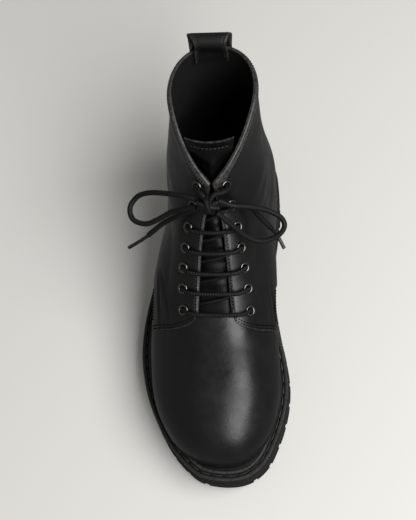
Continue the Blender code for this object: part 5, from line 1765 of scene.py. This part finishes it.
@dataclass(frozen=True)
class SoleForm:
    """Outline, heights and tread of the sole, shared by its layers."""

    last: Last = Last()
    back: float = 40 * MM
    length: float = 303 * MM
    width: float = 118 * MM
    clearance: float = 0.3 * MM
    welt: float = 3.7 * MM
    midsole: float = 8.4 * MM
    heel_block: float = 19.7 * MM
    breast: float = 78 * MM
    flare: float = 1.5 * MM
    lug_depth: float = 5 * MM
    lug_pitch: float = 17 * MM
    lug_notch: float = 3.4 * MM
    lug_length: float = 15 * MM
    grooves_from: float = 0.535
    grooves_run: float = 0.36
    stations: int = 200

    @property
    def welt_top(self) -> float:
        """Depth of the welt's top face under the feather line."""
        return self.clearance

    @property
    def midsole_top(self) -> float:
        """Depth of the midsole's top face under the feather line."""
        return self.welt_top + self.welt + self.clearance

    @property
    def outsole_top(self) -> float:
        """Depth of the outsole's top face under the feather line."""
        return self.midsole_top + self.midsole + self.clearance

    def border(self, count: int = 400) -> tuple[Array, Array]:
        """Lateral and medial edges of the sole in plan, from the back to the toe."""
        along = (1 - np.cos(np.linspace(0, math.pi, count))) / 2
        y = self.back - along * self.length
        edges = []
        for side in Side:
            x = column_value(SOLE_ROWS, side.name.lower(), along, round_ends) * self.width
            edges.append(np.stack([side.value * x, y], 1))
        return edges[0], edges[1]

    def grown(self, margin: float) -> tuple[Array, Array]:
        """The two edges moved outward by the margin."""
        lateral, medial = self.border()
        loop = np.concatenate([medial, lateral[-2:0:-1]])
        tangent = unit(np.roll(loop, -1, 0) - np.roll(loop, 1, 0))
        out = loop + margin * np.stack([-tangent[:, 1], tangent[:, 0]], 1)
        n = len(medial)
        return np.concatenate([out[:1], out[:n - 2:-1]]), out[:n]

    def tread(self, y: Array) -> Array:
        """Height of the outsole's underside."""
        along = (self.back - y) / self.length
        plate = self.heel_block + self.clearance
        rise = column_value(TREAD_ROWS, "heel", along) * plate
        return np.maximum(rise + column_value(TREAD_ROWS, "spring", along) * self.last.toe_spring, 0)

    def under(self, y: Array, depth: float) -> Array:
        """Height of a layer's face this far under the feather line."""
        return self.last.seat(self.last.along(y)) - depth

    def loop(self, margin: float, height: Callable, front: float | None = None) -> Array:
        """Closed line round the sole at a margin from its edge, or round its part behind a front."""
        lateral, medial = self.grown(margin)
        back = max(lateral[:, 1].max(), medial[:, 1].max())
        if front is None:
            tip = min(lateral[:, 1].min(), medial[:, 1].min())
            y = tip + (back - tip) * (1 + np.cos(np.linspace(0, math.pi, self.stations))) / 2
        else:
            y = front + (back - front) * np.cos(np.linspace(0, math.pi / 2, self.stations // 2))
        sides = []
        for edge in (lateral, medial):
            order = np.argsort(edge[:, 1])
            sides.append(np.stack([np.interp(y, edge[order, 1], edge[order, 0]), y, height(y)], 1))
        for end in (0, -1) if front is None else (0,):
            sides[0][end] = sides[1][end] = (sides[0][end] + sides[1][end]) / 2
        return np.concatenate([sides[0], sides[1][-2:0:-1] if front is None else sides[1][:0:-1]])

    def solid(self, loops: Sequence[Array], capped: bool) -> tuple[Array, list[tuple[int, ...]]]:
        """Points and faces between loops, lowest first, capped at both ends or closed like a ring."""
        points = np.stack(loops, 1)
        columns, rows = points.shape[:2]
        if not capped:
            return points.reshape(-1, 3), section_faces(columns, rows, closed=True)
        faces = grid_faces(columns, rows, closed=True)
        half = columns // 2 + columns % 2
        for row in (0, rows - 1):
            for i in range(half if columns % 2 == 0 else half - 1):
                ring = [i, i + 1, (columns - i - 1) % columns, (columns - i) % columns]
                ring = [spot for k, spot in enumerate(ring) if spot not in ring[:k]]
                if len(ring) > 2:
                    faces.append(tuple(spot * rows + row for spot in ring))
        return points.reshape(-1, 3), faces

    def box(
        self, middle: Array, way: Array, size: tuple[float, float], top: float, low: float = -4 * MM
    ) -> tuple[Array, list]:
        """A box cutter from under the ground up to a height, its length along way."""
        side = np.array([-way[1], way[0]])
        corners = [(-1, -1), (1, -1), (1, 1), (-1, 1)]
        flat = [middle + a * size[0] / 2 * way + b * size[1] / 2 * side for a, b in corners]
        points = [(*at, z) for z in (low, float(top)) for at in flat]
        sides = [(0, 1, 5, 4), (1, 2, 6, 5), (2, 3, 7, 6), (3, 0, 4, 7)]
        return np.array(points), [(0, 1, 2, 3), (4, 5, 6, 7), *sides]

    def notches(self, stretch: tuple[float, float], depth: float | None) -> list[tuple[Array, list]]:
        """Notches round the rim, a pitch apart, between two shares of the sole's length."""
        parts = []
        for line, side in zip(self.border(150), (-1, 1)):
            share = (self.back - line[:, 1]) / self.length
            line = line[(share > stretch[0]) & (share < stretch[1])]
            length = lengths_along(line)[-1]
            for k in range(int(length / self.lug_pitch)):
                at = (k + 0.5) * self.lug_pitch / length
                a, b = spaced(line, np.array([at - 0.01, at + 0.01]))
                inward = unit(np.array([(b - a)[1], -(b - a)[0]]) * side)
                middle = (a + b) / 2 + inward * (self.lug_length / 2 - self.flare)
                top = self.tread(middle[1]) + self.lug_depth if depth is None else depth
                size = (self.lug_length + 2 * self.flare, self.lug_notch)
                parts.append(self.box(middle, inward, size, top))
        return parts

    def grooves(self) -> list[tuple[Array, list]]:
        """Grooves across the middle of the forefoot tread."""
        parts = []
        lateral, medial = self.grown(-self.lug_length - 2 * self.lug_notch)
        for k in range(int(self.grooves_run * self.length / self.lug_pitch)):
            y = self.back - self.grooves_from * self.length - k * self.lug_pitch
            left = np.interp(-y, -lateral[:, 1], lateral[:, 0])
            right = np.interp(-y, -medial[:, 1], medial[:, 0])
            middle = np.array([(left + right) / 2, y])
            top = self.tread(y) + self.lug_depth
            parts.append(self.box(middle, np.array([1.0, 0]), (right - left, self.lug_notch), top))
        return parts


def cut_away(made: bpy.types.Object, cutters: Sequence[tuple[Array, list]]) -> None:
    """Cuts shapes out of a piece and keeps the result as its mesh."""
    tool = mesh_object("cutter", *joined(cutters))
    step = made.modifiers.new("cut", "BOOLEAN")
    step.solver = "EXACT"
    step.object = tool
    done = bpy.data.meshes.new_from_object(made.evaluated_get(bpy.context.evaluated_depsgraph_get()))
    made.modifiers.clear()
    made.data = done
    made.data.shade_smooth()
    made.data.set_sharp_from_angle(angle=math.radians(35))
    bpy.data.objects.remove(tool, do_unlink=True)


@dataclass
class Welt:
    """The welt: a leather strip round the sole, with a sunk channel of long stitches."""

    form: SoleForm = SoleForm()
    edge: float = -1.6 * MM
    width: float = 17 * MM
    channel: float = -5.2 * MM
    channel_half: float = 1.2 * MM
    channel_depth: float = 1.3 * MM
    bead: float = -8.0 * MM
    bead_half: float = 0.5 * MM
    bead_rise: float = 0.25 * MM
    seam: float = -9.6 * MM
    seam_size: float = 0.5 * MM
    thread_depth: float = 0.7 * MM
    stitch: Stitch = Stitch(9.6 * MM, 7.0 * MM, 0.5 * MM)
    # Grey of the outer top edge and of the bead: rubbed wear with painted highlight along both
    edge_wear: tuple[float, float, float] = (0.45, 0.7, 0.4)
    bead_wear_and_highlight: tuple[float, float, float] = (0.6, 1.0, 0.6)

    @staticmethod
    def trough(middle: float, half: float, depth: float, high: float) -> list[tuple[float, float]]:
        """Section points of a rounded channel in the top face."""
        return [
            (middle + half, high), (middle + half / 2, high + 0.8 * depth), (middle, high + depth),
            (middle - half / 2, high + 0.8 * depth), (middle - half, high),
        ]

    def build(self, finishes: Finishes) -> None:
        """Builds the strip and its stitches."""
        form = self.form
        low, high = form.welt_top + form.welt, form.welt_top
        section = [
            (self.edge - 0.4 * MM, low), (self.edge, low - 0.5 * MM), (self.edge, high + 0.8 * MM),
            (self.edge - 0.3 * MM, high + 0.2 * MM), (self.edge - 0.9 * MM, high),
        ]
        section += self.trough(self.channel, self.channel_half, self.channel_depth, high)
        section += [
            (self.bead + self.bead_half, high), (self.bead, high - self.bead_rise),
            (self.bead - self.bead_half, high),
        ]
        section += self.trough(self.seam, self.seam_size, self.seam_size, high)
        section += [(-self.width, high), (-self.width, low)]
        loops = [form.loop(margin, lambda y, d=depth: form.under(y, d)) for margin, depth in section]
        made = mesh_object("welt_strip", *form.solid(loops, capped=False))
        wear = np.zeros(len(section))
        # Outer top edge and bead turn grey: rubbed wear with painted highlight
        wear[2:5] = self.edge_wear
        wear[10:13] = self.bead_wear_and_highlight
        add_float(made.data, "wear", np.tile(wear, len(loops[0])))
        dress(made, "welt_leather", finishes.welt)
        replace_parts(made, "welt")
        line = form.loop(self.channel, lambda y: form.under(y, high + self.thread_depth))
        line = np.concatenate([line, line[:1]])
        up = np.repeat([[0.0, 0, 1]], len(line), 0)
        row = stitches(line, up, self.stitch)
        dress(mesh_object("welt_stitching", *row), "welt_leather", finishes.welt_thread)
        LOG.info("welt: %d points", len(made.data.vertices))


@dataclass
class Midsole:
    """The rubber middle layer, with a groove under the welt."""

    form: SoleForm = SoleForm()
    groove: float = 1.6 * MM

    def build(self, finishes: Finishes) -> None:
        """Builds the layer."""
        form = self.form
        top, bottom = form.midsole_top, form.midsole_top + form.midsole
        waist = top + self.groove
        section = [
            (-form.flare - 0.6 * MM, bottom), (-form.flare - 0.15 * MM, bottom - 0.4 * MM),
            (-form.flare, bottom - 1 * MM), (-form.flare, waist + 0.9 * MM),
            (-form.flare - 0.4 * MM, waist + 0.35 * MM), (-form.flare - self.groove, waist),
            (-form.flare - self.groove, top),
        ]
        loops = [form.loop(margin, lambda y, d=depth: form.under(y, d)) for margin, depth in section]
        made = mesh_object("midsole_layer", *form.solid(loops, capped=True), sharp=35)
        dress(made, "midsole_rubber", finishes.rubber)
        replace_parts(made, "midsole")
        LOG.info("midsole: %d points", len(made.data.vertices))


@dataclass
class Outsole:
    """The outsole plate: notched rim, cross grooves and a toothed rib along its top edge."""

    form: SoleForm = SoleForm()
    rib: float = 2.6 * MM
    rib_edge: float = -0.4 * MM
    tooth: float = 2.4 * MM
    tooth_depth: float = 0.5 * MM

    def heights(self, y: Array, drop: float, least: float) -> Array:
        """A height under the top, down to a share of the plate's thickness there."""
        top, low = self.form.under(y, self.form.outsole_top), self.form.tread(y)
        return np.maximum(top - drop, low + least * (top - low))

    def build(self, finishes: Finishes) -> None:
        """Builds the plate and its rib."""
        form = self.form
        top = form.outsole_top
        foot = 2 * MM

        def lip(y: Array) -> Array:
            """Height where the flared rim ends above the tread."""
            return form.tread(y) + np.minimum(foot, 0.2 * (form.under(y, top) - form.tread(y)))

        loops = [form.loop(-0.3 * MM, form.tread), form.loop(0, lambda y: form.tread(y) + 0.3 * MM)]
        loops.append(form.loop(0, lip))
        loops.append(form.loop(-form.flare, lambda y: self.heights(y, self.rib + 0.8 * MM, 0.35)))
        loops.append(form.loop(-form.flare, lambda y: form.under(y, top)))
        made = mesh_object("outsole_plate", *form.solid(loops, capped=True), sharp=35)
        cut_away(made, form.notches((0.47, 0.9995), None) + form.grooves())
        dress(made, "sole_rubber", finishes.rubber)
        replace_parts(made, "outsole")
        dress(self.toothed_rib(), "sole_rubber", finishes.rubber)
        LOG.info("outsole: %d points", len(made.data.vertices))

    def toothed_rib(self) -> bpy.types.Object:
        """The rib round the plate's top edge, with small upright teeth."""
        fine = SoleForm(stations=700)
        root = -fine.flare - 0.6 * MM
        section = (
            (self.rib, 0.5, root), (self.rib, 0.5, self.rib_edge),
            (0.6 * MM, 0.75, self.rib_edge), (0.3 * MM, 0.85, root),
        )
        loops = [
            fine.loop(margin, lambda y, d=drop, share=least: self.heights(y, d, share))
            for drop, least, margin in section
        ]
        run = lengths_along(loops[1])
        tooth = np.clip(1.6 * np.sin(2 * math.pi * run / self.tooth), -1, 1) / 2 + 0.5
        inward = unit(loops[0] - loops[1]) * [1, 1, 0]
        for k in (1, 2):
            loops[k] = loops[k] + inward * (self.tooth_depth * tooth)[:, None]
        return mesh_object("outsole_rib", *fine.solid(loops, capped=False), sharp=25)


@dataclass
class Heel:
    """The heel block, with the outsole's notched rim."""

    form: SoleForm = SoleForm()

    def build(self, finishes: Finishes) -> None:
        """Builds the block."""
        form = self.form
        front = form.back - form.breast
        section = [
            (-0.3 * MM, 0.0), (0.0, 0.3 * MM), (0.0, 2 * MM), (-form.flare, 4 * MM),
            (-form.flare, form.heel_block),
        ]
        loops = [
            form.loop(margin, lambda y, z=height: np.full_like(y, z), front) for margin, height in section
        ]
        made = mesh_object("heel_block", *form.solid(loops, capped=True), sharp=35)
        cut_away(made, form.notches((0.0005, 0.245), form.lug_depth))
        dress(made, "sole_rubber", finishes.rubber)
        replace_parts(made, "heel")
        LOG.info("heel: %d points", len(made.data.vertices))


@dataclass
class Studio:
    """Pale floor, a wide soft key light from the toe's inner side, and the photograph's camera."""

    eye: tuple[float, float, float] = (61 * MM, -356.8 * MM, 685 * MM)
    tilt: float = 22.5
    focal: float = 600.0
    frame_size: tuple[int, int] = (416, 520)
    middle: tuple[float, float] = (141.5, 256.5)
    lens: float = 59.4
    sensor: float = 36.0
    key_way: tuple[float, float, float] = (0.52, -0.36, 0.80)
    key_power: float = 28.0
    key_size: tuple[float, float] = (0.85, 1.9)
    key_far: float = 1.5
    sky: float = 0.18
    key_aim: tuple[float, float, float] = (0, -100 * MM, 60 * MM)
    floor_half: float = 4.0

    def build(self, finishes: Finishes) -> None:
        """Builds the floor, the lights and the camera."""
        corners = np.array([(-1, -1, 0), (1, -1, 0), (1, 1, 0), (-1, 1, 0)]) * self.floor_half
        floor = mesh_object("studio_floor", corners, [(0, 1, 2, 3)])
        floor.data.materials.append(finishes.floor)
        floor.visible_glossy = False
        world = bpy.data.worlds.new("studio")
        world.use_nodes = True
        backdrop = world.node_tree.nodes["Background"]
        backdrop.inputs["Color"].default_value = (1.0, 0.995, 0.985, 1)
        backdrop.inputs["Strength"].default_value = self.sky
        bpy.context.scene.world = world
        bpy.context.scene.view_settings.view_transform = "Standard"
        self.light("key_light", unit(np.array(self.key_way)))
        self.camera()
        LOG.info("studio: floor, key light, sky and camera")

    def place(self, made: bpy.types.Object, axes: Sequence[Array], at: Sequence[float]) -> None:
        """Puts a light or camera at a place, with its own axes along these."""
        rows = [(*row, spot) for row, spot in zip(np.stack(axes, 1), at)]
        made.matrix_world = Matrix([*rows, (0, 0, 0, 1)])
        bpy.context.scene.collection.objects.link(made)

    def light(self, name: str, back: Array) -> None:
        """A long soft box that faces the boot, its length beside the boot's length."""
        data = bpy.data.lights.new(name, "AREA")
        data.shape = "RECTANGLE"
        data.size, data.size_y = self.key_size
        data.energy = self.key_power
        made = bpy.data.objects.new(name, data)
        across = unit(np.cross([0, 1.0, 0], back))
        self.place(made, [across, np.cross(back, across), back], self.key_aim + back * self.key_far)

    def camera(self) -> None:
        """The photograph's viewpoint, turned only enough to centre this boot."""
        tilt = math.radians(self.tilt)
        look = np.array([0, math.sin(tilt), -math.cos(tilt)])
        up = np.array([0, math.cos(tilt), math.sin(tilt)])
        right = np.array([1.0, 0, 0])
        off = (np.array(self.middle) - np.array(self.frame_size) / 2) / self.focal
        way = unit(look + off[0] * right - off[1] * up)
        side = unit(np.cross(way, up))
        over = np.cross(side, way)
        data = bpy.data.cameras.new("camera")
        data.lens = self.lens
        data.sensor_width = self.sensor
        data.sensor_fit = "VERTICAL"
        data.sensor_height = self.sensor
        data.clip_start = 0.01
        made = bpy.data.objects.new("camera", data)
        self.place(made, [side, over, -way], self.eye)
        bpy.context.scene.camera = made


def main() -> None:
    """Builds the boot piece by piece, then the studio."""
    finishes = Finishes()
    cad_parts["insole"].data.materials.clear()
    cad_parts["insole"].data.materials.append(finishes.lining)
    sole = (Outsole(), Heel(), Midsole(), Welt())
    for part in (*sole, Upper(), Tongue(), PullLoop(), Eyelets(), Lacing(), Studio()):
        part.build(finishes)


if __name__ == "__main__":
    main()
